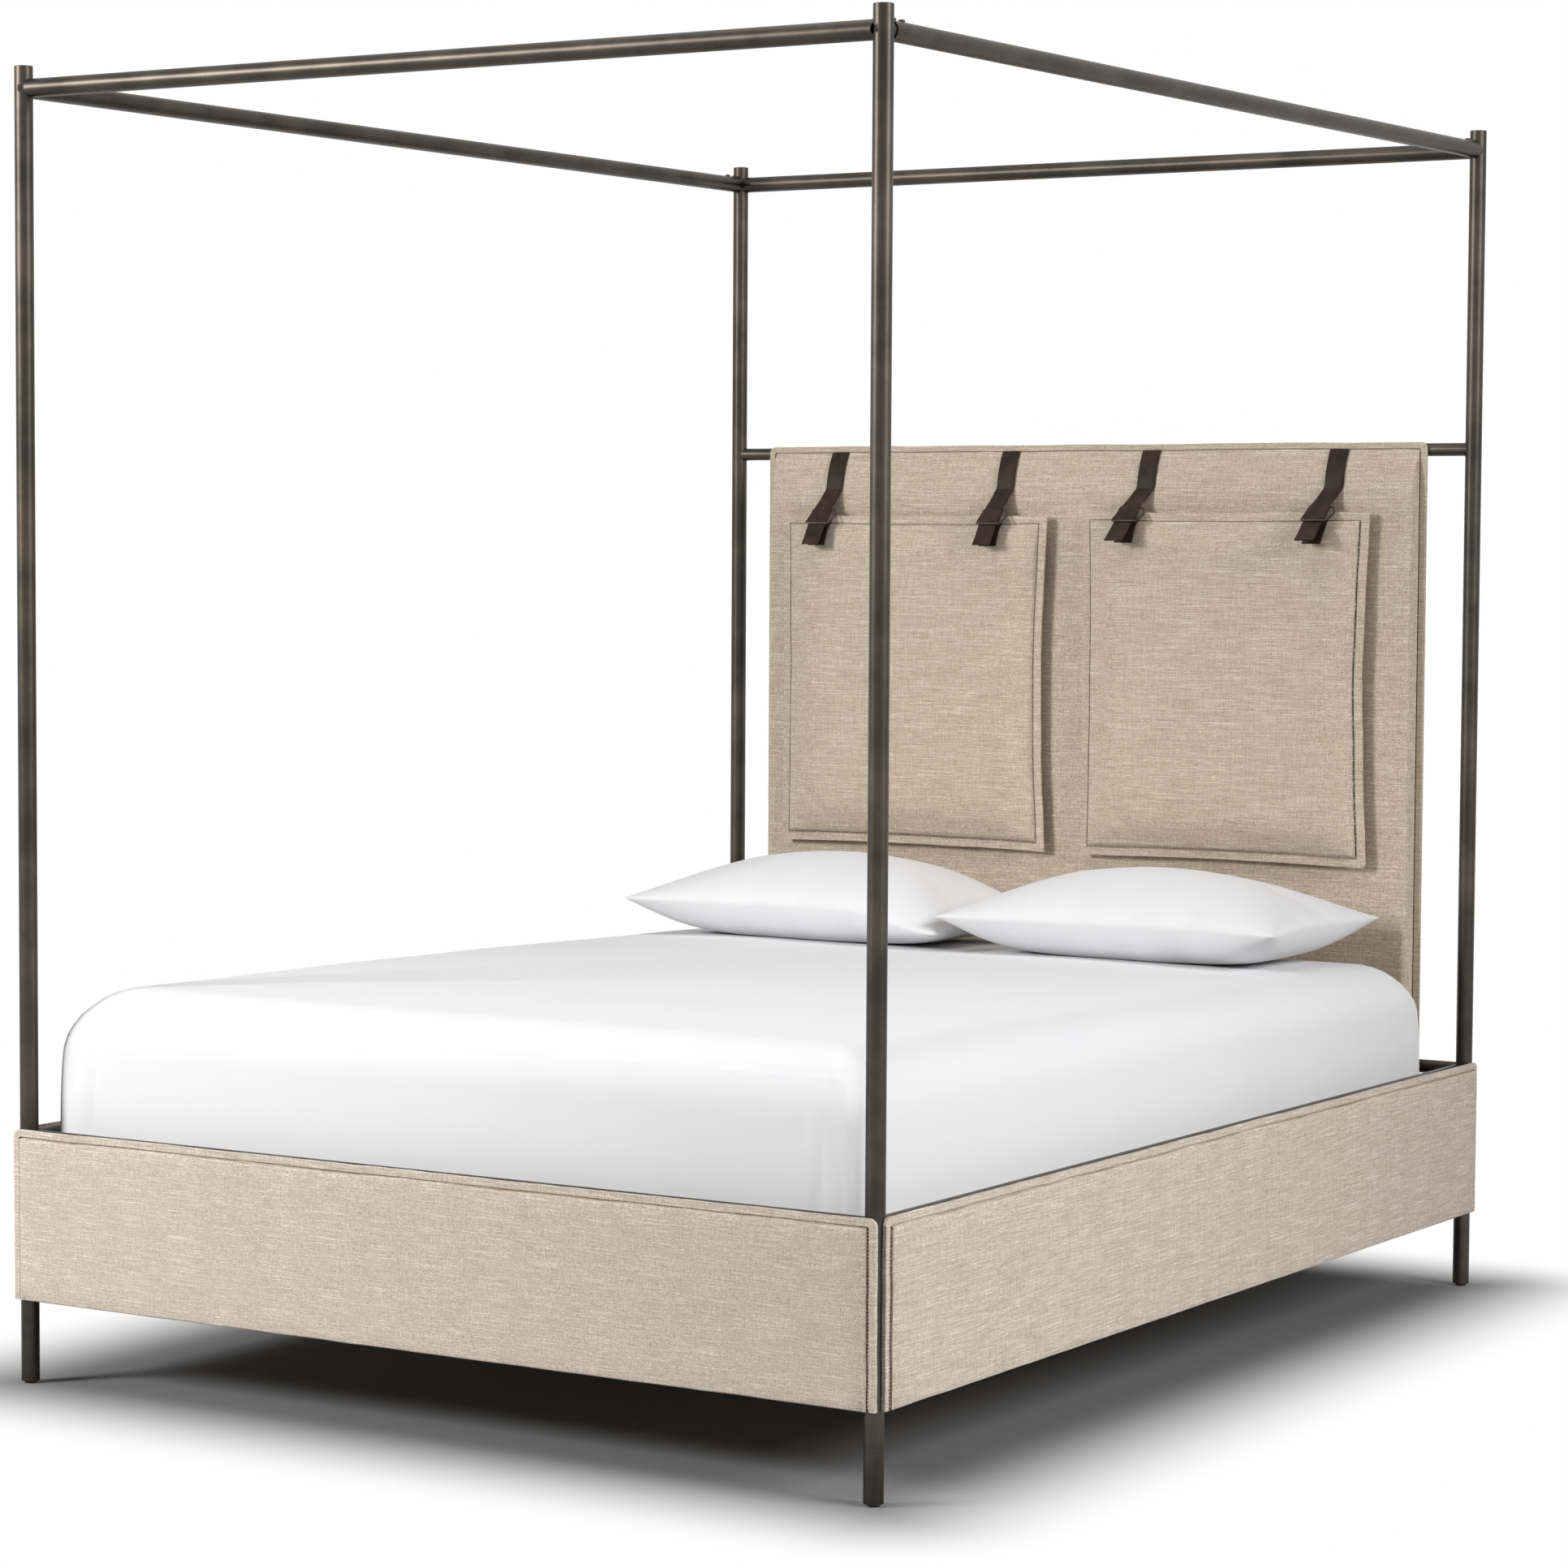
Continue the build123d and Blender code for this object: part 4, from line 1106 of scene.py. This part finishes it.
# ================================================================ hung cushions
class BED_OT_add_cushions(bpy.types.Operator):
    """Make the two hung back cushions, each a filled pad inside a flat welted flange"""

    bl_idname = "bed.add_cushions"
    bl_label = "Add hung cushions"

    def execute(self, context):
        for side, seed in (("left", 2.0), ("right", 7.0)):
            low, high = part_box("cushion_" + side)
            plane = post_head_y - cushion_plane
            piece = self.pad("hung_cushion_" + side, low, high, plane)
            thread = self.thread("cushion_thread_" + side, low, high, plane)
            for part in (piece, thread):
                sculpt(part, lambda place: self.hang(place, low, high, plane, seed))
            smooth(piece, 55.0)
            linen = linen_material("linen_cushion_" + side, shift=(seed * 0.13, 0.0, seed * 0.07),
                                   shade_tint=headboard_shade_tint)
            dress(piece, linen, "cushion_" + side, "linen", "cushion_" + side)
            dress(thread, bpy.data.materials["linen_thread"], "cushion_" + side, "linen")
        return {"FINISHED"}

    def pad(self, name, low, high, plane):
        """A thin block whose two faces are drawn out inside the welt, then filled with air as cloth."""
        half_thick = cushion_flange_thickness / 2
        steps = [(0.0006, 0.0), (cushion_flange_width - 0.0014, 0.0004), (0.0008, -0.0010), (0.0010, 0.0012),
                 (0.0020, 0.0040), (0.0040, 0.0036)]
        flat_low = Vector((low.x, plane - half_thick, low.z))
        flat_high = Vector((high.x, plane + half_thick, high.z))
        piece = welted_block(name, flat_low, flat_high, steps, sides=(-1, 1))
        cut_grid(piece, 0, low.x, high.x, 0.0095)
        cut_grid(piece, 2, low.z, high.z, 0.0095)
        for axis in (0, 2):
            corner_cuts(piece, axis, low[axis], 1.0)
            corner_cuts(piece, axis, high[axis], -1.0)
        seam = cushion_flange_width + 0.0085
        front = plane - (post_head_y - cushion_back - cushion_thickness)
        back = (post_head_y - cushion_back) - plane

        def crown(place):
            edge = edge_distance(place, low, high)
            place = rounded(place, low, high, 0.008, 0.002, lower_too=True)
            share = 1.0 - math.exp(-max(0.0, edge - seam) / 0.026)
            away = place.y - plane
            if edge > seam - 0.0005:
                most = front - 0.006 if away < 0.0 else back - 0.005
                place.y = plane + away + math.copysign(1.0, away) * share * (most - abs(away))
            return place

        def sewn(place):
            return edge_distance(place, low, high) < seam + 0.004

        # Painted shade along the flange's stitch line: full on the right side, which lies away from the key
        # light, 0.55 on the other sides.
        def stitched(place):
            edge = edge_distance(place, low, high)
            right = 1.0 if high.x - place.x < edge + 0.001 else 0.55
            return right if abs(edge - cushion_flange_width) < 0.0010 else 0.0

        paint_seam_shade(piece, stitched)
        sculpt(piece, crown)
        inflate(piece, cushion_pressure, sewn, cushion_frames, cushion_give, shrink=-0.01)
        return piece

    def hang(self, place, low, high, plane, seed):
        """Soft outline: the right side pulls in, the top sags and the flange wanders, as a hung pad's do."""
        across = (place.x - low.x) / (high.x - low.x)
        up = (place.z - low.z) / (high.z - low.z)
        edge = edge_distance(place, low, high)
        loose = 1.0 - rise(edge, 0.0, 0.018)
        bend = ripple((place.x, 0.0, place.z), 0.06, seed) * 0.0030
        bend += ripple((place.x, 3.0, place.z), 0.02, seed + 4.0) * 0.0008
        pucker = ripple((place.x, 6.0, place.z), 0.024, seed + 8.0) * 0.0007
        pucker += ripple((place.x, 9.0, place.z), 0.075, seed + 1.0) * 0.0014
        near_seam = rise(edge, 0.012, 0.022) * (1.0 - rise(edge, 0.05, 0.11))
        place.y += bend * loose + pucker * near_seam * math.copysign(1.0, place.y - plane)
        pull = math.sin(math.pi * min(1.0, max(0.0, up)))
        sag = math.sin(math.pi * min(1.0, max(0.0, across)))
        left = 1.0 - rise(across, 0.0, 0.25)
        right = rise(across, 0.75, 1.0)
        top = rise(up, 0.8, 1.0)
        bottom = 1.0 - rise(up, 0.0, 0.2)
        place.x += 0.003 * pull * left - 0.0115 * pull * right
        place.z -= 0.0035 * sag * top
        place.z += 0.003 * sag * bottom
        wander = ripple((place.x, 0.0, place.z), 0.12, seed) * 0.0016
        place.x += wander * (left + right) + 0.0010 * (left - right)
        place.z += wander * (top + bottom) - 0.0012 * (top - bottom)
        return place

    def thread(self, name, low, high, plane):
        inset = cushion_flange_width - 0.0012
        runs = []
        for depth, way in ((plane - cushion_flange_thickness / 2 - 0.0005, -1.0),
                           (plane + cushion_flange_thickness / 2 + 0.0005, 1.0)):
            outward = (0.0, way, 0.0)
            corners = [(low.x + inset, depth, low.z + inset), (high.x - inset, depth, low.z + inset),
                       (high.x - inset, depth, high.z - inset), (low.x + inset, depth, high.z - inset)]
            runs += [(a, b, outward) for a, b in zip(corners, corners[1:] + corners[:1])]
        return add_stitches(name, runs)


# ================================================================ bedding
class BED_OT_add_mattress(bpy.types.Operator):
    """Make the mattress with its fitted white sheet"""

    bl_idname = "bed.add_mattress"
    bl_label = "Add mattress"

    def execute(self, context):
        low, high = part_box("mattress")
        piece = add_block("mattress_and_sheet", low, high)
        with Editing(piece) as edit:
            edit.pick("edges", lambda edge: abs(edge.verts[0].co.z - edge.verts[1].co.z) > 0.01)
            bpy.ops.mesh.bevel(offset=mattress_corner_round, segments=12, affect="EDGES")
            edit.pick("edges", lambda edge: min(v.co.z for v in edge.verts) > high.z - 1e-4)
            bpy.ops.mesh.bevel(offset=mattress_top_round, segments=8, affect="EDGES")
        cut_grid(piece, 0, low.x, high.x, mattress_grid)
        cut_grid(piece, 1, low.y, high.y, mattress_grid)
        cut_grid(piece, 2, low.z, high.z, mattress_grid)
        sculpt(piece, lambda place: self.settle(place, low, high))
        apply_modifier(piece, "SUBSURF", levels=1, render_levels=1)
        smooth(piece, 80.0)
        dress(piece, cotton_material("sheet_cotton"), "mattress", "bedding_cotton", "mattress")
        return {"FINISHED"}

    def square_up(self, place, low, high):
        """Fill the upright corners out, as springs under a tight sheet do, and leave their tops rounder."""
        centre_x = min(max(place.x, low.x + mattress_corner_round), high.x - mattress_corner_round)
        centre_y = min(max(place.y, low.y + mattress_corner_round), high.y - mattress_corner_round)
        out_x = place.x - centre_x
        out_y = place.y - centre_y
        reach = math.hypot(out_x, out_y)
        if abs(out_x) < 1e-6 or abs(out_y) < 1e-6:
            return
        up = (place.z - low.z) / (high.z - low.z)
        power = mattress_fullness - mattress_top_softening * rise(up, 0.55, 1.0)
        fuller = (abs(out_x / reach) ** power + abs(out_y / reach) ** power) ** (-1.0 / power)
        place.x = centre_x + out_x * fuller
        place.y = centre_y + out_y * fuller

    def settle(self, place, low, high):
        """Lower the top towards the head, round it over, and fold the sheet a little at the corners."""
        self.square_up(place, low, high)
        height = high.z - low.z
        up = (place.z - low.z) / height
        along = (place.y - low.y) / (high.y - low.y)
        edge = min(place.x - low.x, high.x - place.x, place.y - low.y, high.y - place.y)
        drop = mattress_head_drop * along ** 1.5
        crown = mattress_edge_drop * (1.0 - rise(edge, 0.05, 0.35))
        place.z -= (drop + crown) * up
        corner_x = min(place.x - low.x, high.x - place.x)
        corner_y = min(place.y - low.y, high.y - place.y)
        on_side = 1.0 - rise(up, 0.80, 1.0)
        near_corner = 1.0 - rise(max(corner_x, corner_y), 0.03, 0.16)
        fold = ripple((place.x * 2.2, place.y * 2.2, place.z * 0.28), 0.035, 4.0)
        soft = ripple((place.x, place.y, place.z * 0.6), 0.22, 9.0)
        push = 0.0035 * fold * near_corner * on_side + 0.0022 * soft * on_side
        middle_point = Vector(((low.x + high.x) / 2, (low.y + high.y) / 2, place.z))
        out = (Vector((place.x, place.y, place.z)) - middle_point).normalized()
        bulge = 0.006 - 0.009 * rise(up, 0.35, 0.9)
        place.x += out.x * (push + bulge)
        place.y += out.y * (push + bulge)
        flat = rise(up, 0.9, 1.0)
        place.z += 0.0020 * ripple((place.x, place.y, 0.0), 0.30, 1.0) * flat
        return place


class BED_OT_add_pillows(bpy.types.Operator):
    """Blow up the two pillows from flat sewn covers and lay them on the mattress"""

    bl_idname = "bed.add_pillows"
    bl_label = "Add pillows"

    def execute(self, context):
        material = cotton_material("pillow_cotton")
        for side, seed in (("left", 1.0), ("right", 6.0)):
            low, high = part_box("pillow_" + side)
            piece = self.pillow("soft_pillow_" + side, low, high, seed)
            dress(piece, material, "pillow_" + side, "bedding_cotton", "pillow_" + side)
        return {"FINISHED"}

    def plump(self, place, flat, size):
        """Where a point of the flat cover lies on an evenly filled pillow, which calms the cloth's folds."""
        across = 2.0 * place.x / flat.x
        along = 2.0 * place.y / flat.y
        swell = max(0.0, (1.0 - across ** 2) * (1.0 - abs(along) ** 2.2))
        return Vector((across * (1.0 - 0.05 * (1.0 - along ** 2)) * size.x / 2,
                       along * (1.0 - 0.07 * (1.0 - across ** 2)) * size.y / 2,
                       math.copysign(0.0015 + 0.5 * size.z * swell ** 0.62, place.z)))

    def pillow(self, name, low, high, seed):
        size = high - low
        flat = Vector((size.x * 1.05, size.y * 1.08, 0.010))
        piece = add_block(name, -flat / 2, flat / 2)
        cut_grid(piece, 0, -flat.x / 2, flat.x / 2, pillow_grid)
        cut_grid(piece, 1, -flat.y / 2, flat.y / 2, pillow_grid)

        def uneven(place):
            swell = ripple((place.x, place.y, 0.0), 0.09, seed)
            place.z *= 1.0 + 0.3 * swell
            return place

        sculpt(piece, uneven)
        sewn = [vertex.co.copy() for vertex in piece.data.vertices]
        inflate(piece, pillow_pressure, lambda place: False, pillow_frames, pillow_give, bending=0.3,
                tension=12.0)
        apply_modifier(piece, "SMOOTH", factor=0.5, iterations=16)
        for vertex, start in zip(piece.data.vertices, sewn):
            vertex.co = vertex.co.lerp(self.plump(start, flat, size), pillow_evenness)
        apply_modifier(piece, "SUBSURF", levels=1, render_levels=1)
        points = [vertex.co for vertex in piece.data.vertices]
        lowest = Vector([min(point[axis] for point in points) for axis in range(3)])
        highest = Vector([max(point[axis] for point in points) for axis in range(3)])
        span = highest - lowest
        tucked = 0.20 if name.endswith("left") else 0.0

        def lay(place):
            x = (place.x - lowest.x) / span.x
            y = (place.y - lowest.y) / span.y
            z = (place.z - lowest.z) / span.z
            share = z * 2.0 - 1.0
            belly = 0.46 - tucked * rise(x, 0.68, 1.0)
            if share < 0.0:
                height = belly * (1.0 - math.tanh(-1.9 * share) / math.tanh(1.9))
            else:
                height = belly + (1.0 - belly) * share
            return Vector((low.x + size.x * x, low.y + size.y * y, low.z + size.z * height))

        sculpt(piece, lay)
        smooth(piece, 80.0)
        return piece


# ================================================================ straps and buckles
def smooth_path(points, steps):
    """Points along a smooth line through the given ones."""
    line = []
    padded = [points[0]] + list(points) + [points[-1]]
    for index in range(1, len(padded) - 2):
        p0, p1, p2, p3 = (Vector(padded[index + k]) for k in (-1, 0, 1, 2))
        for step in range(steps):
            t = step / steps
            line.append(0.5 * ((2 * p1) + (p2 - p0) * t + (2 * p0 - 5 * p1 + 4 * p2 - p3) * t * t
                               + (3 * p1 - p0 - 3 * p2 + p3) * t ** 3))
    line.append(Vector(points[-1]))
    return line


def add_ribbon(name, line, width, thickness):
    """A flat leather ribbon along a line of points, lying square to the X axis."""
    rows = len(line) - 1
    deselect_all()
    bpy.ops.mesh.primitive_grid_add(x_subdivisions=6, y_subdivisions=rows, size=1.0)
    piece = bpy.context.object
    piece.name = name

    def lay(place):
        index = round((place.y + 0.5) * rows)
        ahead = line[min(rows, index + 1)] - line[max(0, index - 1)]
        out = Vector((0.0, ahead.z, -ahead.y)).normalized()
        cup = 0.0004 * (1.0 - (2.0 * place.x) ** 2)
        return line[index] + Vector((place.x * width, 0.0, 0.0)) + out * cup

    sculpt(piece, lay)
    apply_modifier(piece, "SOLIDIFY", thickness=thickness, offset=0.0)
    apply_modifier(piece, "BEVEL", width=0.0005, segments=2, limit_method="ANGLE",
                   angle_limit=math.radians(50.0))
    smooth(piece, 40.0)
    return piece


class BED_OT_add_straps(bpy.types.Operator):
    """Run the four leather straps from their stitched ends down through their keepers"""

    bl_idname = "bed.add_straps"
    bl_label = "Add leather straps"

    def execute(self, context):
        leather = leather_material("strap_leather")
        thread = plain_material("strap_thread", (0.011, 0.008, 0.006), 0.7, 700.0, 0.0001)
        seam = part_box("headboard_cover")[1].z - headboard_seam_drop
        for number in (1, 2, 3, 4):
            side = "left" if number < 3 else "right"
            low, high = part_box("strap_%d" % number)
            keeper_low, keeper_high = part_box("strap_keeper_%d" % number)
            keeper_x = (keeper_low.x + keeper_high.x) / 2
            anchor_x = self.anchor_x(low, high, keeper_x)
            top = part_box("cushion_" + side)[1].z
            points = self.route(number, side, anchor_x, keeper_x, seam, top)
            strap = add_ribbon("leather_strap_%d" % number, smooth_path(points, 6), strap_width,
                               strap_thickness)
            stitches = self.patch_thread("strap_thread_%d" % number, anchor_x, seam)
            strap.data.materials.append(leather)
            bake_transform(strap)
            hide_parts("strap_%d" % number, "strap_anchors")
            dress(stitches, thread, "frame", "strap_leather")
            self.keeper(number, side, leather)
            self.tab(number, side, keeper_x, top, leather)
        return {"FINISHED"}

    def anchor_x(self, low, high, keeper_x):
        """The stitched end's place across the bed: the strap's end that is away from the keeper's slant."""
        right_edge = high.x - strap_width / 2
        left_edge = low.x + strap_width / 2
        return right_edge if abs(right_edge - keeper_x) > abs(left_edge - keeper_x) else left_edge

    def route(self, number, side, anchor_x, keeper_x, seam, top):
        """Centre line of a strap: down the shoulder, off at the crease, through the keeper, and out."""
        lift = strap_lift + strap_thickness / 2
        drift = keeper_x - anchor_x
        hung = top - strap_slacks[number]

        def face(drop, x=anchor_x):
            return Vector((x, post_head_y - shoulder_depth(drop) - lift, seam - drop))

        def below(spot, x):
            return Vector((x, post_head_y - spot[1], hung + spot[0]))

        crease = face(crease_drop, anchor_x + 0.1 * drift)
        into, out_of = (below(spot, keeper_x) for spot in keeper_runs[side])
        tail = below(tail_ends[number], keeper_x + 0.2 * drift)
        middle_slant = crease.lerp(into, 0.5) + Vector((0.0, 0.0015, 0.0))
        return [face(0.001), face(0.014), face(0.027), face(0.050), face(0.066), crease,
                crease.lerp(into, 0.15), middle_slant, crease.lerp(into, 0.85), into, into.lerp(out_of, 0.5),
                out_of, out_of.lerp(tail, 0.2), out_of.lerp(tail, 0.6) + Vector((0.0, 0.0008, 0.0)), tail]

    def patch_thread(self, name, x, seam):
        """The stitched square and cross that fix the strap's end."""
        half = strap_width / 2 - 0.004

        def spot(across, drop):
            depth = shoulder_depth(drop) + strap_lift + strap_thickness + 0.0001
            return (x + across, post_head_y - depth, seam - drop)

        corners = [spot(-half, 0.004), spot(half, 0.004), spot(half, 0.0255), spot(-half, 0.0255)]
        centre = spot(0.0, 0.01475)
        outward = (0.0, -0.9, 0.4)
        runs = [(a, b, outward) for a, b in zip(corners, corners[1:] + corners[:1])]
        runs += [(corner, centre, outward) for corner in corners]
        return add_stitches(name, runs, radius=0.0005, length=0.0026, pitch=0.0036)

    def keeper(self, number, side, leather):
        """A leather loop round the strap, with soft edges."""
        low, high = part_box("strap_keeper_%d" % number)
        x = (low.x + high.x) / 2
        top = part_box("cushion_" + side)[1].z - strap_slacks[number]
        start, end = (Vector((x, post_head_y - depth, top + above)) for above, depth in keeper_runs[side])
        run = end - start
        deselect_all()
        bpy.ops.mesh.primitive_cube_add(size=1.0)
        piece = bpy.context.object
        piece.name = "leather_keeper_%d" % number
        piece.scale = (strap_width + 0.0048, strap_thickness + 0.0048, run.length)
        apply_place(piece)
        with Editing(piece) as edit:
            edit.pick("edges", lambda edge: abs(edge.verts[0].co.z - edge.verts[1].co.z) > 0.01)
            bpy.ops.mesh.bevel(offset=0.0030, segments=4, affect="EDGES")
            edit.pick("faces", lambda face: abs(face.normal.z) > 0.9)
            bpy.ops.mesh.inset(thickness=0.0019, depth=0.0)
            bpy.ops.mesh.inset(thickness=0.0001, depth=-0.0035)
        apply_modifier(piece, "BEVEL", width=0.0004, segments=2, limit_method="ANGLE",
                       angle_limit=math.radians(60.0))
        turn = (-run).to_track_quat("Z", "Y").to_matrix().to_4x4()
        piece.data.transform(Matrix.Translation((start + end) / 2) @ turn)
        smooth(piece, 45.0)
        dress(piece, leather, "cushion_" + side, "strap_leather", "strap_keeper_%d" % number)

    def tab(self, number, side, x, top, leather):
        """The leather tab sewn to the cushion below the buckle; its end stands off the cushion's face."""
        spots = [(-0.016, 0.0745), (-0.024, 0.083), (-0.034, 0.0915), tab_ends[number]]
        points = [(x, post_head_y - depth, top + above) for above, depth in spots]
        piece = add_ribbon("leather_tab_%d" % number, smooth_path(points, 4), strap_width, strap_thickness)
        dress(piece, leather, "cushion_" + side, "strap_leather", "cushion_tabs_" + side)


class BED_OT_add_buckles(bpy.types.Operator):
    """Give the four wire buckles from the frame their bronze material"""

    bl_idname = "bed.add_buckles"
    bl_label = "Add wire buckles"

    def execute(self, context):
        material = metal_material("buckle_bronze", 0.0)
        for number in (1, 2, 3, 4):
            finish_solid(nodes["buckle_ring_%d" % number], material)
        return {"FINISHED"}


# ================================================================ stage
class BED_OT_set_stage(bpy.types.Operator):
    """Lay the floor with its painted shadow pool, set the soft studio light and place the camera"""

    bl_idname = "bed.set_stage"
    bl_label = "Set stage, light and camera"

    def execute(self, context):
        self.floor()
        self.lights(context.scene.bed_stage)
        self.camera(context.scene.bed_stage)
        context.scene.view_settings.view_transform = "Standard"
        return {"FINISHED"}

    def seen(self, tree):
        """1 for rays that show the background: straight from the camera, reflected or seen through glass."""
        path = tree.add("ShaderNodeLightPath")
        shown = tree.math("MAXIMUM", path.outputs["Is Camera Ray"], path.outputs["Is Glossy Ray"])
        return tree.math("MAXIMUM", shown, path.outputs["Is Transmission Ray"])

    def floor(self):
        deselect_all()
        bpy.ops.mesh.primitive_plane_add(size=60.0, location=(0.0, 0.0, 0.0))
        floor = bpy.context.object
        floor.name = "studio_floor"
        material, tree, shader = new_material("pale_floor", Roughness=0.9, Specular_IOR_Level=0.1)
        seen = self.seen(tree)
        place = object_place(tree)
        # Seen from the camera, the floor is painted dark grey, 0.18 to 0.20, and glows white only a little
        # way from the bed: a painted shadow pool under and around the bed, over its real shadow. Other rays
        # see a 0.36 grey.
        grain = tree.noise(place, 40.0, 3.0, 0.6)
        pale = tree.mix(grain, (0.20, 0.20, 0.20, 1.0), (0.18, 0.18, 0.18, 1.0))
        tree.set(shader, "Base Color", tree.mix(seen, (0.36, 0.36, 0.36, 1.0), pale))
        # The white glow takes over outside the painted shadow pool.
        far = self.painted_shadow_fade(tree, place)
        glow = tree.add("ShaderNodeEmission", inputs={"Strength": 1.0})
        mixer = tree.add("ShaderNodeMixShader", inputs={"Fac": tree.math("MULTIPLY", far, seen)})
        tree.tree.links.new(shader.outputs[0], mixer.inputs[1])
        tree.tree.links.new(glow.outputs[0], mixer.inputs[2])
        tree.tree.links.new(mixer.outputs[0], material.node_tree.nodes["Material Output"].inputs["Surface"])
        floor.data.materials.append(material)

    def painted_shadow_fade(self, tree, place):
        """0 under the bed, rising to 1 a little way outside it: the fade of the painted shadow pool into the
        white glowing floor.
        """
        half = (cad_bounds[1] - cad_bounds[0]) / 2
        split = tree.add("ShaderNodeSeparateXYZ", inputs={"Vector": place})
        beyond = [tree.math("SUBTRACT", tree.math("ABSOLUTE", split.outputs[axis]), reach)
                  for axis, reach in (("X", half.x), ("Y", half.y))]
        outside = [tree.math("MAXIMUM", distance, 0.0) for distance in beyond]
        corner = tree.add("ShaderNodeCombineXYZ", inputs={"X": outside[0], "Y": outside[1]})
        reach = tree.add("ShaderNodeVectorMath", operation="LENGTH", inputs={0: corner.outputs[0]})
        inside = tree.math("MINIMUM", tree.math("MAXIMUM", beyond[0], beyond[1]), 0.0)
        distance = tree.math("ADD", reach.outputs["Value"], inside)
        node = tree.add("ShaderNodeMapRange", interpolation_type="SMOOTHSTEP",
                        inputs={"Value": distance, "From Min": pool_fade_inner, "From Max": pool_fade_outer})
        return node.outputs["Result"]

    def lights(self, wish):
        """Large soft boxes: the key at the front left, the fill at the right, a weak one overhead."""
        boxes = (("key_light", wish.key, 1.6, 108.0, (-3.5, -5.0, 3.1), (-0.1, -1.2, 0.1)),
                 ("fill_light", wish.fill, 2.4, 84.0, (6.2, -0.5, 3.5), (0.8, -0.8, 0.3)),
                 ("top_light", wish.top, 3.0, 180.0, (0.0, -0.6, 4.8), (0.0, 0.0, 0.0)))
        for name, watts, size, spread, place, target in boxes:
            aim = (Vector(target) - Vector(place)).to_track_quat("-Z", "Y").to_euler()
            bpy.ops.object.light_add(type="AREA", location=place, rotation=aim)
            lamp = bpy.context.object
            lamp.name = name
            lamp.data.shape = "SQUARE"
            lamp.data.size = size
            lamp.data.spread = math.radians(spread)
            lamp.data.energy = watts
        world = bpy.data.worlds.new("studio")
        bpy.context.scene.world = world
        world.use_nodes = True
        tree = Tree(world.node_tree)
        seen = self.seen(tree)
        white = world.node_tree.nodes["Background"]
        white.inputs["Color"].default_value = (1.0, 1.0, 1.0, 1.0)
        white.inputs["Strength"].default_value = 1.0
        soft = tree.add("ShaderNodeBackground",
                        inputs={"Color": (1.0, 1.0, 1.0, 1.0), "Strength": wish.ambient})
        mixer = tree.add("ShaderNodeMixShader", inputs={"Fac": seen})
        tree.tree.links.new(soft.outputs[0], mixer.inputs[1])
        tree.tree.links.new(white.outputs[0], mixer.inputs[2])
        tree.tree.links.new(mixer.outputs[0], world.node_tree.nodes["World Output"].inputs["Surface"])

    def camera(self, wish):
        heading = math.radians(camera_heading)
        pitch = math.radians(camera_pitch)
        roll = math.radians(camera_roll)
        ahead = Vector((-math.sin(heading) * math.cos(pitch), math.cos(heading) * math.cos(pitch),
                        math.sin(pitch)))
        level = Vector((math.cos(heading), math.sin(heading), 0.0))
        above = level.cross(ahead)
        right = level * math.cos(roll) + above * math.sin(roll)
        up = above * math.cos(roll) - level * math.sin(roll)
        bpy.ops.object.camera_add()
        camera = bpy.context.object
        camera.name = "studio_camera"
        camera.data.sensor_width = 36.0
        camera.data.lens = wish.lens
        camera.data.shift_x = camera_shift[0]
        camera.data.shift_y = camera_shift[1]
        camera.data.clip_end = 200.0
        turn = Matrix((right, up, -ahead)).transposed().to_4x4()
        camera.matrix_world = Matrix.Translation(camera_place) @ turn
        bpy.context.scene.camera = camera


class BED_PT_panel(bpy.types.Panel):
    """Lists the bed's building steps"""

    bl_idname = "BED_PT_panel"
    bl_label = "Canopy Bed"
    bl_space_type = "VIEW_3D"
    bl_region_type = "UI"
    bl_category = "Bed"

    def draw(self, context):
        for step in operators:
            self.layout.operator(step.bl_idname)
        for name in settings:
            group = getattr(context.scene, name)
            for label in group.__annotations__:
                self.layout.prop(group, label)


settings = {"bed_linen": BedLinenSettings, "bed_metal": BedMetalSettings, "bed_leather": BedLeatherSettings,
            "bed_bedding": BedBeddingSettings, "bed_stage": BedStageSettings}
operators = (BED_OT_set_stage, BED_OT_finish_metal_frame, BED_OT_finish_hidden_parts, BED_OT_add_weld_beads,
             BED_OT_add_side_panels, BED_OT_add_headboard, BED_OT_add_cushions, BED_OT_add_straps,
             BED_OT_add_buckles, BED_OT_add_mattress, BED_OT_add_pillows)


def register():
    for name, group in settings.items():
        bpy.utils.register_class(group)
        setattr(bpy.types.Scene, name, bpy.props.PointerProperty(type=group))
    for step in operators:
        bpy.utils.register_class(step)
    bpy.utils.register_class(BED_PT_panel)


def unregister():
    bpy.utils.unregister_class(BED_PT_panel)
    for step in reversed(operators):
        bpy.utils.unregister_class(step)
    for name, group in reversed(settings.items()):
        delattr(bpy.types.Scene, name)
        bpy.utils.unregister_class(group)


def main():
    register()
    for step in operators:
        area, name = step.bl_idname.split(".")
        getattr(getattr(bpy.ops, area), name)()


if __name__ == "__main__":
    main()
